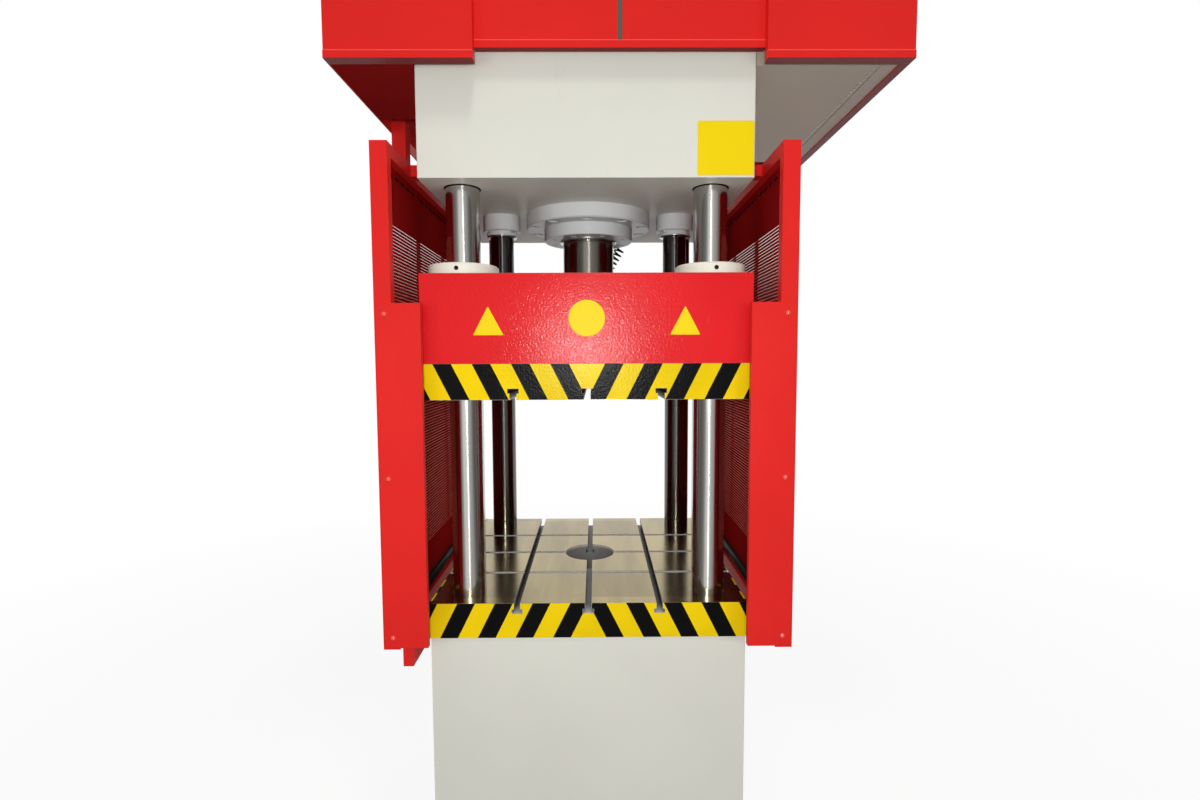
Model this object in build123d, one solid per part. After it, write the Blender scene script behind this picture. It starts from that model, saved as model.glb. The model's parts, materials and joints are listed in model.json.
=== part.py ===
from build123d import *
import math
import os

# Four-column hydraulic press: bed, slide, crown, side guards and overhead power-unit canopy.
# Millimetres. Origin on the floor under the bed centre, +Z up, the operator stands at -Y.

# Driving dimensions
slide_width = 895.0
slide_depth = 920.0
bed_height = 850.0
daylight = 571.0
head_room = 250.0
stroke_down = 400.0
stroke_up = 100.0
column_diameter = 95.0
bed_plate_thickness = 100.0
slide_plate_thickness = 98.0
slide_body_height = 241.0
crown_height = 400.0

# Bed, crown and columns against the slide
bed_setback_x = 2.5
bed_setback_y = 19.0
crown_setback_y = 10.0
column_inset_x = 97.5
column_inset_y = 115.0
bed_width = slide_width - 2 * bed_setback_x
bed_depth = slide_depth - 2 * bed_setback_y
crown_width = slide_width
crown_depth = slide_depth - 2 * crown_setback_y
column_spacing_x = slide_width - 2 * column_inset_x
column_spacing_y = slide_depth - 2 * column_inset_y
bed_under = bed_height - bed_plate_thickness
slide_bottom = bed_height + daylight
slide_joint = slide_bottom + slide_plate_thickness
slide_top = slide_joint + slide_body_height
crown_bottom = slide_top + head_room
crown_top = crown_bottom + crown_height

# T-slots of bed and slide, and the bed's centre hole
slot_neck_width = 18.0
slot_head_width = 30.0
slot_head_height = 12.0
slot_depth = 30.0
slot_pitch = 200.0
bed_hole_diameter = 170.0
slot_places = (-slot_pitch, 0.0, slot_pitch)

# Base weldment
base_inset = 3.0
base_wall = 25.0
base_floor = 30.0
base_rib = 20.0
foot_overhang = 60.0
foot_length = 150.0
anchor_hole_diameter = 26.0
base_rib_height = 190.0
base_cable_hole = 80.0
base_cable_level = 220.0

# Columns and their nuts
column_shank_diameter = 80.0
column_seat = 40.0
column_clearance = 0.5
column_chamfer = 4.0
nut_across_corners = 124.0
nut_height = 70.0
nut_projection = 12.0

# Crown weldment
crown_wall = 30.0
crown_bottom_plate = 80.0
crown_top_plate = 60.0
crown_edge = 4.0
column_tube_wall = 22.0
lifting_hole_diameter = 60.0

# Main cylinder, gland and ram
flange_diameter = 415.0
flange_thickness = 45.0
flange_chamfer = 4.0
barrel_diameter = 290.0
barrel_bore = 220.0
barrel_head = 60.0
barrel_clearance = 0.5
flange_screw_count = 10
flange_screw_circle = 370.0
flange_screw_head = 30.0
flange_screw_shank = 20.0
flange_screw_reach = 40.0
screw_well_diameter = 34.0
screw_well_depth = 24.0
screw_socket_across = 16.0
screw_socket_depth = 10.0
screw_socket_depth_share = 0.5
screw_start_share = 0.5
gland_diameter = 297.0
gland_thickness = 40.0
gland_chamfer = 3.0
gland_screw_count = 8
gland_screw_circle = 245.0
gland_screw_head = 18.0
gland_screw_shank = 12.0
gland_screw_height = 11.0
gland_screw_reach = 20.0
gland_well_diameter = 20.0
gland_well_depth = 13.0
ram_diameter = 170.0
ram_clearance = 0.5
ram_spigot_diameter = 120.0
piston_height = 100.0
piston_clearance = 0.4
piston_reserve = 20.0
wiper_width = 10.0
wiper_height = 6.0
prefill_flange_diameter = 180.0
prefill_flange_height = 30.0
prefill_body_diameter = 130.0
prefill_body_height = 80.0
prefill_cap_diameter = 90.0
prefill_cap_height = 18.0

# Pull-back cylinders beside the main cylinder
pullback_gap = 23.5
pullback_gland_diameter = 124.0
pullback_offset = (flange_diameter + pullback_gland_diameter) / 2 + pullback_gap
pullback_gland_height = 52.0
pullback_collar_diameter = 100.0
pullback_collar_height = 14.0
pullback_barrel_diameter = 112.0
pullback_bore = 92.0
pullback_head = 30.0
pullback_rod_diameter = 78.0
pullback_rod_chamfer = 3.0
pullback_spigot_diameter = 50.0
pullback_piston_height = 50.0
pullback_screw_count = 4
pullback_screw_circle = 112.0
pullback_screw_head = 10.0
pullback_screw_height = 6.0

# Slide weldment and guide bushes
slide_wall = 25.0
slide_top_plate = 40.0
slide_edge = 3.0
bush_cap_diameter = 196.0
bush_cap_height = 32.0
bush_cap_chamfer = 4.0
bush_sleeve_diameter = 128.0
bush_clearance = 0.3
bush_seat_clearance = 0.5
bush_tube_wall = 18.0
spanner_hole_diameter = 12.0
spanner_hole_depth = 20.0
slide_rib = 20.0

# Side guards
guard_gap_x = 60.5
guard_gap_y = 40.0
guard_overlap = 80.0
guard_drop = 2.0
guard_tube_width = 45.0
guard_post_depth = 30.0
guard_rail_height = 36.0
guard_tube_wall = 3.0
guard_sill_height = 43.0
seal_height = 34.0
seal_thickness = 8.0
panel_sheet = 3.0
panel_setback = 20.0
louvre_count = 102
louvre_height = 4.4
louvre_margin = 34.0
louvre_margin_low = 110.0
louvre_margin_high = 157.5
dash_count = 18
dash_length = 30.0
dash_margin = 62.0
dash_height = 8.0
dash_drop = 24.0
strap_width = 30.0
strap_thickness = 4.0
strap_offset = 150.0
cover_sheet = 3.0
cover_edge = 5.0
cover_overlap = 15.5
cover_drop = 412.0
cover_lip = 15.0
cover_screw_inset = 22.0
cover_screw_margin = 28.5
cover_screw_head = 13.0
cover_screw_height = 5.0
cover_screw_shank = 8.0
arm_width = 45.0
arm_height = 32.0
arm_inset = 183.0
arm_wall = 4.0
bracket_width = 28.0
bracket_drop = 58.0
bracket_length = 160.0
bracket_setback = 21.0
bracket_wall = 4.0

# Overhead canopy
canopy_sheet = 3.0
canopy_front_gap = 50.0
canopy_rear_gap = 30.0
canopy_left_overhang = 214.5
canopy_right_overhang = 392.5
canopy_rise = 280.0
canopy_head_room = 22.0
canopy_side_width = 377.0
canopy_recess = 25.0
canopy_door_rise = 37.0
canopy_door_gap = 12.0
canopy_flange = 30.0
canopy_door_flange = 17.0
canopy_hem = 21.0
canopy_hem_step = 3.0
canopy_hem_radius = 2.0
canopy_floor_depth = 390.0
side_flange = 25.0
vent_count = 12
vent_length = 260.0
vent_height = 6.0
vent_pitch = 16.0
canopy_post_width = 46.0
canopy_post_depth = 50.0
canopy_post_lap = 50.0
canopy_post_plate = 8.0
canopy_rail_width = 32.0
canopy_rail_height = 40.0
beam_height = 40.0
beam_width = 50.0
beam_inset = 145.0
beam_wall = 4.0

# Oil tank and power unit under the canopy
tank_wall = 4.0
tank_front_gap = 44.0
tank_length = 772.0
tank_side_gap = 12.0
tank_height = 330.0
tank_filler_diameter = 60.0
tank_seam_inset = 56.0
tank_seam_width = 3.0
tank_seam_depth = 1.5
motor_diameter = 170.0
motor_length = 260.0
motor_inset_x = 185.0
motor_inset_y = 226.0
motor_fin_count = 16
motor_fin_height = 8.0
motor_fin_width = 4.0
motor_foot_width = 150.0
motor_foot_length = 140.0
motor_foot_height = 25.0
motor_tail_length = 40.0
pump_diameter = 120.0
pump_length = 130.0
pump_shoulder_diameter = 150.0
pump_shoulder_length = 30.0
block_length = 150.0
block_width = 110.0
block_height = 120.0
block_gap = 6.0
solenoid_diameter = 40.0
solenoid_length = 48.0
pipe_diameter = 28.0
pipe_wall = 4.0
pipe_bend_radius = 50.0
pipe_rise = 70.0

# Coiled cable from crown to slide
cable_coil_diameter = 38.0
cable_top_x = 144.0
cable_bottom_x = 24.0
cable_gap = 64.0
cable_socket_diameter = 44.0
cable_socket_height = 18.0
cable_gland_height = 20.0

# Levels and places that follow from the sizes above
overrun = 1.0
flange_bottom = crown_bottom - flange_thickness
gland_bottom = flange_bottom - gland_thickness
piston_bottom = crown_bottom + stroke_down + piston_reserve
piston_top = piston_bottom + piston_height
barrel_inner_top = piston_top + stroke_up + piston_reserve
barrel_top = barrel_inner_top + barrel_head
pullback_piston_top = piston_bottom + pullback_piston_height
pullback_inner_top = pullback_piston_top + stroke_up + piston_reserve
pullback_top = pullback_inner_top + pullback_head
guard_inner = slide_width / 2 + guard_gap_x
guard_outer = guard_inner + guard_tube_width
guard_front = slide_depth / 2 + guard_gap_y
guard_top = crown_bottom + guard_overlap
guard_bottom = bed_under - guard_drop
panel_outer = guard_outer - panel_setback
sill_top = guard_bottom + guard_sill_height
panel_bottom = sill_top + seal_height
panel_top = guard_top - guard_rail_height
louvre_base = panel_bottom + louvre_margin_low
louvre_pitch = (panel_top - louvre_margin_high - louvre_base) / (louvre_count - 1)
dash_level = panel_top - dash_drop
cover_outer = guard_outer - cover_edge
cover_inner = slide_width / 2 - cover_overlap
cover_bottom = guard_bottom + cover_edge
cover_top = guard_top - cover_drop
cover_screw_offset = cover_outer - cover_screw_inset
cover_screw_low = cover_bottom + cover_screw_margin
cover_screw_high = cover_top - cover_screw_margin
cover_screw_levels = (cover_screw_low, (cover_screw_low + cover_screw_high) / 2, cover_screw_high)
arm_offset = slide_depth / 2 - arm_inset
canopy_front = crown_depth / 2 + canopy_front_gap
canopy_rear = crown_depth / 2 + canopy_rear_gap
canopy_left = crown_width / 2 + canopy_left_overhang
canopy_right = crown_width / 2 + canopy_right_overhang
canopy_bottom = crown_bottom + canopy_rise
canopy_door_bottom = canopy_bottom + canopy_door_rise
prefill_top = barrel_top + prefill_flange_height + prefill_body_height + prefill_cap_height
canopy_top = prefill_top + canopy_head_room + canopy_sheet
canopy_floor_rear = canopy_floor_depth + canopy_sheet - canopy_front
door_front = canopy_front - canopy_recess
door_left = canopy_side_width - canopy_left
door_right = canopy_right - canopy_side_width
canopy_ceiling = canopy_top - canopy_sheet
tank_front = canopy_front - tank_front_gap
tank_rear = tank_length - tank_front
tank_right = canopy_right - tank_side_gap
tank_bottom = canopy_bottom + canopy_sheet
tank_top = tank_bottom + tank_height
motor_offset_x = crown_width / 2 + motor_inset_x
motor_offset_y = motor_inset_y - tank_front
beam_offset = column_spacing_y / 2 - beam_inset
block_offset_y = (barrel_diameter + block_width) / 2 + solenoid_length + block_gap
cable_y = ram_clearance + barrel_diameter / 2 + cable_gap - cable_coil_diameter / 2
column_places = {
    "front_left": (-column_spacing_x / 2, -column_spacing_y / 2),
    "front_right": (column_spacing_x / 2, -column_spacing_y / 2),
    "rear_left": (-column_spacing_x / 2, column_spacing_y / 2),
    "rear_right": (column_spacing_x / 2, column_spacing_y / 2),
}
sides = {"left": -1, "right": 1}


def block(x0, x1, y0, y1, z0, z1):
    """Box between two corners."""
    middle = Pos((x0 + x1) / 2, (y0 + y1) / 2, (z0 + z1) / 2)
    return middle * Box(abs(x1 - x0), abs(y1 - y0), abs(z1 - z0))


def bar(diameter, z0, z1, x=0, y=0):
    """Round bar standing between two levels."""
    return Pos(x, y, (z0 + z1) / 2) * Cylinder(diameter / 2, z1 - z0)


def turned(points, x=0, y=0):
    """Solid of revolution about a vertical axis from radius and level points."""
    profile = make_face(Plane.XZ * Polyline(*points, close=True))
    return Pos(x, y) * revolve(profile, Axis.Z)


def ring_places(count, circle, start=0):
    """Places of holes or screws on a bolt circle."""
    return [
        (circle / 2 * math.cos(2 * math.pi * (i + start) / count),
         circle / 2 * math.sin(2 * math.pi * (i + start) / count))
        for i in range(count)
    ]


def t_slot(length, mouth, inward):
    """T-slot cutter along Y; inward is -1 for a slot cut downwards, +1 for one cut upwards."""
    neck = slot_depth - slot_head_height
    profile = Polyline(
        (-slot_neck_width / 2, mouth - inward * overrun),
        (slot_neck_width / 2, mouth - inward * overrun),
        (slot_neck_width / 2, mouth + inward * neck),
        (slot_head_width / 2, mouth + inward * neck),
        (slot_head_width / 2, mouth + inward * slot_depth),
        (-slot_head_width / 2, mouth + inward * slot_depth),
        (-slot_head_width / 2, mouth + inward * neck),
        (-slot_neck_width / 2, mouth + inward * neck),
        close=True,
    )
    return extrude(make_face(Plane.XZ * profile), length / 2 + overrun, both=True)


def cross_hole(diameter, wall):
    """Round cutter through a wall that faces Y."""
    return Rot(90, 0, 0) * Cylinder(diameter / 2, wall + 2 * overrun)


def make_base():
    """Hollow base box with cross ribs, a cable hole at the rear and anchor feet."""
    half_x = bed_width / 2 - base_inset
    half_y = bed_depth / 2 - base_inset
    shell = block(-half_x, half_x, -half_y, half_y, 0, bed_under)
    room_x = half_x - base_wall
    room_y = half_y - base_wall
    shell -= block(-room_x, room_x, -room_y, room_y, base_floor, bed_under + overrun)
    rib_bottom = bed_under - base_rib_height
    for x in (-slot_pitch, slot_pitch):
        shell += block(x - base_rib / 2, x + base_rib / 2, -room_y, room_y, rib_bottom, bed_under)
    shell -= Pos(0, half_y - base_wall / 2, base_cable_level) * cross_hole(base_cable_hole, base_wall)
    for side in sides.values():
        for end in (-1, 1):
            y0 = end * half_y
            y1 = end * (half_y - foot_length)
            edge = half_x + foot_overhang
            foot = block(side * half_x, side * edge, y0, y1, 0, base_floor)
            place = side * (half_x + foot_overhang / 2)
            foot -= bar(anchor_hole_diameter, -overrun, base_floor + overrun, place, (y0 + y1) / 2)
            shell += foot
    return shell


def make_bed_plate():
    """Bed plate with crossing T-slots, centre hole and seats for the columns."""
    plate = block(-bed_width / 2, bed_width / 2, -bed_depth / 2, bed_depth / 2, bed_under, bed_height)
    for place in slot_places:
        plate -= Pos(place, 0) * t_slot(bed_depth, bed_height, -1)
        plate -= Pos(0, place) * Rot(0, 0, 90) * t_slot(bed_width, bed_height, -1)
    plate -= bar(bed_hole_diameter, bed_under - overrun, bed_height + overrun)
    seat = column_diameter + 2 * column_clearance
    shank = column_shank_diameter + 2 * column_clearance
    for x, y in column_places.values():
        plate -= bar(seat, bed_height - column_seat, bed_height + overrun, x, y)
        plate -= bar(shank, bed_under - overrun, bed_height, x, y)
    return plate


def make_column(x, y):
    """Stepped column: full diameter between its seats, thinner shank through bed and crown."""
    low = bed_under - nut_height - nut_projection
    high = crown_top + nut_height + nut_projection
    seat_low = bed_height - column_seat
    seat_high = crown_bottom + column_seat
    shank = column_shank_diameter / 2
    body = column_diameter / 2
    return turned([
        (0, low), (shank - column_chamfer, low), (shank, low + column_chamfer),
        (shank, seat_low), (body, seat_low), (body, seat_high), (shank, seat_high),
        (shank, high - column_chamfer), (shank - column_chamfer, high), (0, high),
    ], x, y)


def make_column_nut(x, y, z):
    """Hexagon nut on a column shank."""
    nut = extrude(RegularPolygon(nut_across_corners / 2, 6), nut_height)
    nut -= bar(column_shank_diameter + 2 * column_clearance, -overrun, nut_height + overrun)
    return Pos(x, y, z) * nut


def make_crown():
    """Hollow crown with thick plates, column tubes, cylinder bores and rear lifting holes."""
    crown = block(-crown_width / 2, crown_width / 2, -crown_depth / 2, crown_depth / 2,
                  crown_bottom, crown_top)
    crown = fillet(crown.edges().filter_by(Axis.Z), crown_edge)
    room_x = crown_width / 2 - crown_wall
    room_y = crown_depth / 2 - crown_wall
    room_low = crown_bottom + crown_bottom_plate
    room_high = crown_top - crown_top_plate
    room = block(-room_x, room_x, -room_y, room_y, room_low, room_high)
    shank = column_shank_diameter + 2 * column_clearance
    for x, y in column_places.values():
        room -= bar(shank + 2 * column_tube_wall, room_low - overrun, room_high + overrun, x, y)
    crown -= room
    for x, y in column_places.values():
        crown -= bar(shank, crown_bottom - overrun, crown_top + overrun, x, y)
        crown -= bar(column_diameter + 2 * column_clearance, crown_bottom - overrun,
                     crown_bottom + column_seat, x, y)
    bores = {0: barrel_diameter, -pullback_offset: pullback_barrel_diameter,
             pullback_offset: pullback_barrel_diameter}
    for x, diameter in bores.items():
        crown -= bar(diameter + 2 * barrel_clearance, crown_bottom - overrun, crown_top + overrun, x)
    for x, y in ring_places(flange_screw_count, flange_screw_circle, screw_start_share):
        crown -= bar(flange_screw_shank, crown_bottom - overrun, crown_bottom + flange_screw_reach, x, y)
    for side in sides.values():
        hole = cross_hole(lifting_hole_diameter, crown_wall)
        crown -= Pos(side * slot_pitch, room_y + crown_wall / 2, (room_low + room_high) / 2) * hole
    return crown


def make_main_cylinder():
    """Main cylinder: bottom flange, long barrel and closed head with the prefill port."""
    bore = barrel_bore / 2
    barrel = barrel_diameter / 2
    flange = flange_diameter / 2
    port = prefill_body_diameter / 2
    body = turned([
        (bore, flange_bottom), (flange - flange_chamfer, flange_bottom),
        (flange, flange_bottom + flange_chamfer), (flange, crown_bottom),
        (barrel, crown_bottom), (barrel, barrel_top), (port, barrel_top),
        (port, barrel_inner_top), (bore, barrel_inner_top),
    ])
    for x, y in ring_places(flange_screw_count, flange_screw_circle, screw_start_share):
        body -= bar(screw_well_diameter, flange_bottom - overrun, flange_bottom + screw_well_depth, x, y)
        body -= bar(flange_screw_shank, flange_bottom, crown_bottom + overrun, x, y)
    for x, y in ring_places(gland_screw_count, gland_screw_circle, screw_start_share):
        body -= bar(gland_screw_shank, flange_bottom - overrun, flange_bottom + gland_screw_reach, x, y)
    return body


def make_socket_screw(x, y, seat, head, height, shank, reach, socket):
    """Socket-head screw driven upwards, its head seated under the given level."""
    screw = bar(head, seat - height, seat, x, y) + bar(shank, seat, seat + reach, x, y)
    key = extrude(RegularPolygon(socket / 2, 6), min(screw_socket_depth, height * screw_socket_depth_share))
    return screw - Pos(x, y, seat - height) * key


def make_flange_screws():
    """Ring of screws sunk in the flange."""
    seat = flange_bottom + screw_well_depth
    reach = crown_bottom + flange_screw_reach - seat
    return [
        make_socket_screw(x, y, seat, flange_screw_head, flange_screw_shank, flange_screw_shank,
                          reach, screw_socket_across)
        for x, y in ring_places(flange_screw_count, flange_screw_circle, screw_start_share)
    ]


def make_gland():
    """Stepped gland ring under the flange."""
    inner = ram_diameter / 2 + ram_clearance
    outer = gland_diameter / 2
    gland = turned([
        (inner, gland_bottom), (outer - gland_chamfer, gland_bottom),
        (outer, gland_bottom + gland_chamfer), (outer, flange_bottom), (inner, flange_bottom),
    ])
    for x, y in ring_places(gland_screw_count, gland_screw_circle, screw_start_share):
        gland -= bar(gland_well_diameter, gland_bottom - overrun, gland_bottom + gland_well_depth, x, y)
        gland -= bar(gland_screw_shank, gland_bottom, flange_bottom + overrun, x, y)
    return gland


def make_gland_screws():
    """Screws sunk in the gland that hold it to the flange."""
    seat = gland_bottom + gland_well_depth
    reach = flange_bottom + gland_screw_reach - seat
    return [
        make_socket_screw(x, y, seat, gland_screw_head, gland_screw_height,
                          gland_screw_shank, reach, gland_screw_shank)
        for x, y in ring_places(gland_screw_count, gland_screw_circle, screw_start_share)
    ]


def make_wiper(diameter, level, x=0):
    """Wiper ring that hangs under a gland around its rod."""
    inner = diameter / 2 + ram_clearance
    outer = inner + wiper_width
    low = level - wiper_height
    return turned([
        (inner, low), (outer - wiper_height / 2, low), (outer, low + wiper_height / 2),
        (outer, level), (inner, level),
    ], x)


def make_prefill_valve():
    """Prefill valve that plugs the head of the main cylinder."""
    neck = prefill_body_diameter / 2 - barrel_clearance
    flange = prefill_flange_diameter / 2
    body = prefill_body_diameter / 2
    cap = prefill_cap_diameter / 2
    flange_top = barrel_top + prefill_flange_height
    body_top = flange_top + prefill_body_height
    return turned([
        (0, barrel_inner_top), (neck, barrel_inner_top), (neck, barrel_top), (flange, barrel_top),
        (flange, flange_top), (body, flange_top), (body, body_top), (cap, body_top),
        (cap, body_top + prefill_cap_height), (0, body_top + prefill_cap_height),
    ])


def make_pullback_cylinder(x):
    """Pull-back cylinder: round gland below the crown, barrel up through it."""
    rod = pullback_rod_diameter / 2 + ram_clearance
    bore = pullback_bore / 2
    barrel = pullback_barrel_diameter / 2
    gland = pullback_gland_diameter / 2
    collar = pullback_collar_diameter / 2
    gland_low = crown_bottom - pullback_gland_height
    low = gland_low - pullback_collar_height
    return turned([
        (rod, low), (collar, low), (collar, gland_low), (gland - gland_chamfer, gland_low),
        (gland, gland_low + gland_chamfer), (gland, crown_bottom), (barrel, crown_bottom),
        (barrel, pullback_top), (0, pullback_top), (0, pullback_inner_top),
        (bore, pullback_inner_top), (bore, crown_bottom), (rod, crown_bottom),
    ], x)


def make_pullback_screws():
    """Hexagon screws under the pull-back glands."""
    level = crown_bottom - pullback_gland_height - pullback_screw_height
    heads = []
    for side in sides.values():
        for x, y in ring_places(pullback_screw_count, pullback_screw_circle, screw_start_share):
            head = extrude(RegularPolygon(pullback_screw_head / 2, 6), pullback_screw_height)
            heads.append(Pos(side * pullback_offset + x, y, level) * head)
    return heads


def make_ram():
    """Main ram with its piston above and its spigot in the slide below."""
    rod = ram_diameter / 2
    spigot = ram_spigot_diameter / 2
    piston = barrel_bore / 2 - piston_clearance
    low = slide_top - slide_top_plate
    return turned([
        (0, low), (spigot, low), (spigot, slide_top), (rod, slide_top), (rod, piston_bottom),
        (piston, piston_bottom), (piston, piston_top), (0, piston_top),
    ])


def make_pullback_rod(x):
    """Pull-back rod with piston above and spigot below."""
    rod = pullback_rod_diameter / 2
    spigot = pullback_spigot_diameter / 2
    piston = pullback_bore / 2 - piston_clearance
    low = slide_top - slide_top_plate
    return turned([
        (0, low), (spigot, low), (spigot, slide_top), (rod - pullback_rod_chamfer, slide_top),
        (rod, slide_top + pullback_rod_chamfer), (rod, piston_bottom), (piston, piston_bottom),
        (piston, pullback_piston_top), (0, pullback_piston_top),
    ], x)


def make_slide_plate():
    """Slide plate with T-slots open downwards and holes for the guide bushes."""
    plate = block(-slide_width / 2, slide_width / 2, -slide_depth / 2, slide_depth / 2,
                  slide_bottom, slide_joint)
    for place in slot_places:
        plate -= Pos(place, 0) * t_slot(slide_depth, slide_bottom, 1)
    for x, y in column_places.values():
        hole = bush_sleeve_diameter + 2 * bush_seat_clearance
        plate -= bar(hole, slide_bottom - overrun, slide_joint + overrun, x, y)
    return plate


def make_slide_body():
    """Hollow slide box with top plate, cross ribs and tubes that carry the guide bushes."""
    box = block(-slide_width / 2, slide_width / 2, -slide_depth / 2, slide_depth / 2,
                slide_joint, slide_top)
    box = fillet(box.edges().filter_by(Axis.Z), slide_edge)
    room_x = slide_width / 2 - slide_wall
    room_y = slide_depth / 2 - slide_wall
    room = block(-room_x, room_x, -room_y, room_y, slide_joint - overrun, slide_top - slide_top_plate)
    hole = bush_sleeve_diameter + 2 * bush_seat_clearance
    for x, y in column_places.values():
        room -= bar(hole + 2 * bush_tube_wall, slide_joint - overrun, slide_top, x, y)
    for place in (-slot_pitch, slot_pitch):
        room -= block(place - slide_rib / 2, place + slide_rib / 2, -slide_depth / 2, slide_depth / 2,
                      slide_joint - overrun, slide_top)
    box -= room
    for x, y in column_places.values():
        box -= bar(hole, slide_joint - overrun, slide_top + overrun, x, y)
    box -= bar(ram_spigot_diameter + 2 * ram_clearance, slide_joint, slide_top + overrun)
    for side in sides.values():
        box -= bar(pullback_spigot_diameter + 2 * ram_clearance, slide_joint, slide_top + overrun,
                   side * pullback_offset)
    return box


def make_guide_bush(x, y):
    """Flanged guide bush; a radial spanner hole faces the operator."""
    bore = column_diameter / 2 + bush_clearance
    sleeve = bush_sleeve_diameter / 2
    cap = bush_cap_diameter / 2
    cap_top = slide_top + bush_cap_height
    bush = turned([
        (bore, slide_bottom), (sleeve, slide_bottom), (sleeve, slide_top), (cap, slide_top),
        (cap, cap_top - bush_cap_chamfer), (cap - bush_cap_chamfer, cap_top), (bore, cap_top),
    ], x, y)
    hole = cross_hole(spanner_hole_diameter, 2 * spanner_hole_depth)
    return bush - Pos(x, y - cap, slide_top + bush_cap_height / 2) * hole


def make_guard_frame(side):
    """Guard frame of rectangular tube, open at the foot of its posts, with two straps."""
    y0 = -guard_front
    y1 = guard_front
    inner = side * guard_inner
    outer = side * guard_outer
    frame = block(inner, outer, y0, y1, guard_bottom, guard_top)
    frame -= block(inner - side * overrun, outer + side * overrun, y0 + guard_post_depth,
                   y1 - guard_post_depth, sill_top, panel_top)
    core_in = inner + side * guard_tube_wall
    core_out = outer - side * guard_tube_wall
    core = block(core_in, core_out, y0 + guard_tube_wall, y1 - guard_tube_wall,
                 guard_bottom - overrun, guard_top - guard_tube_wall)
    core -= block(inner - side * overrun, outer + side * overrun,
                  y0 + guard_post_depth - guard_tube_wall, y1 - guard_post_depth + guard_tube_wall,
                  sill_top - guard_tube_wall, panel_top + guard_tube_wall)
    core -= block(inner, outer, y0 + guard_post_depth, y1 - guard_post_depth,
                  guard_bottom - overrun, guard_bottom + guard_tube_wall)
    frame -= core
    strap_in = side * panel_outer
    strap_out = strap_in + side * strap_thickness
    for y in (-strap_offset, strap_offset):
        frame += block(strap_in, strap_out, y - strap_width / 2, y + strap_width / 2, sill_top, panel_top)
    return frame


def make_guard_panel(side):
    """Slotted sheet: long louvre slots with one row of short slots above them."""
    y0 = -guard_front + guard_post_depth
    y1 = guard_front - guard_post_depth
    outer = side * panel_outer
    inner = outer - side * panel_sheet
    panel = block(inner, outer, y0, y1, panel_bottom, panel_top)
    centre = (inner + outer) / 2
    louvre = Box(2 * panel_sheet, y1 - y0 - 2 * louvre_margin, louvre_height)
    dash = Box(2 * panel_sheet, dash_length, dash_height)
    cuts = [Pos(centre, 0, louvre_base + i * louvre_pitch) * louvre for i in range(louvre_count)]
    start = y0 + dash_margin
    dash_pitch = (y1 - dash_margin - start) / (dash_count - 1)
    cuts += [Pos(centre, start + i * dash_pitch, dash_level) * dash for i in range(dash_count)]
    return panel - cuts


def make_guard_seal(side):
    """Rubber strip between sill and slotted sheet."""
    outer = side * panel_outer
    inner = outer - side * seal_thickness
    return block(inner, outer, -guard_front + guard_post_depth, guard_front - guard_post_depth,
                 sill_top, panel_bottom)


def make_guard_cover(side):
    """Front cover sheet with a lip folded back at its inner edge."""
    y0 = -guard_front - cover_sheet
    sheet = block(side * cover_inner, side * cover_outer, y0, -guard_front, cover_bottom, cover_top)
    lip_out = side * (cover_inner + cover_sheet)
    sheet += block(side * cover_inner, lip_out, y0, -guard_front + cover_lip, cover_bottom, cover_top)
    for level in cover_screw_levels:
        hole = cross_hole(cover_screw_shank, cover_sheet)
        sheet -= Pos(side * cover_screw_offset, y0 + cover_sheet / 2, level) * hole
    return sheet


def make_cover_screws():
    """Round-head screws of both front covers."""
    screws = []
    face = -guard_front - cover_sheet
    rise = cover_screw_height
    radius = cover_screw_head / 2
    ball = (radius ** 2 + rise ** 2) / (2 * rise)
    for side in sides.values():
        for level in cover_screw_levels:
            dome = Pos(0, 0, rise - ball) * Sphere(ball)
            head = dome & bar(cover_screw_head, 0, rise)
            head += bar(cover_screw_shank, -cover_sheet, 0)
            screws.append(Pos(side * cover_screw_offset, face, level) * Rot(90, 0, 0) * head)
    return screws


def make_arm(side, y, z0, start):
    """Short square tube from the machine's side out to the guard."""
    x0 = side * start
    x1 = side * guard_inner
    arm = block(x0, x1, y - arm_width / 2, y + arm_width / 2, z0, z0 + arm_height)
    low = z0 + arm_wall
    high = z0 + arm_height - arm_wall
    half = arm_width / 2 - arm_wall
    return arm - block(x0 - side * overrun, x1 + side * overrun, y - half, y + half, low, high)


def make_arms(z0, start):
    """Four arms, front and rear on both sides."""
    return [make_arm(side, y, z0, start) for side in sides.values() for y in (-arm_offset, arm_offset)]


def make_guard_bracket():
    """Channel that hangs under the left guard's sill on the machine side."""
    x0 = -guard_inner
    x1 = x0 + bracket_width
    y0 = -guard_front + bracket_setback
    z0 = guard_bottom - bracket_drop
    channel = block(x0, x1, y0, y0 + bracket_length, z0, sill_top)
    channel -= block(x0 + bracket_wall, x1 - bracket_wall, y0 + bracket_wall,
                     y0 + bracket_length + overrun, z0 + bracket_wall, sill_top + overrun)
    return channel


def make_canopy_hem(x0, x1, y, z):
    """Folded strip along a sheet's foot, its upper front edge rounded."""
    strip = block(x0, x1, y - canopy_hem_step, y, z, z + canopy_hem)
    front = strip.edges().filter_by(Axis.X).sort_by(Axis.Y)[0:2]
    return fillet(front.sort_by(Axis.Z)[-1], canopy_hem_radius)


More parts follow.
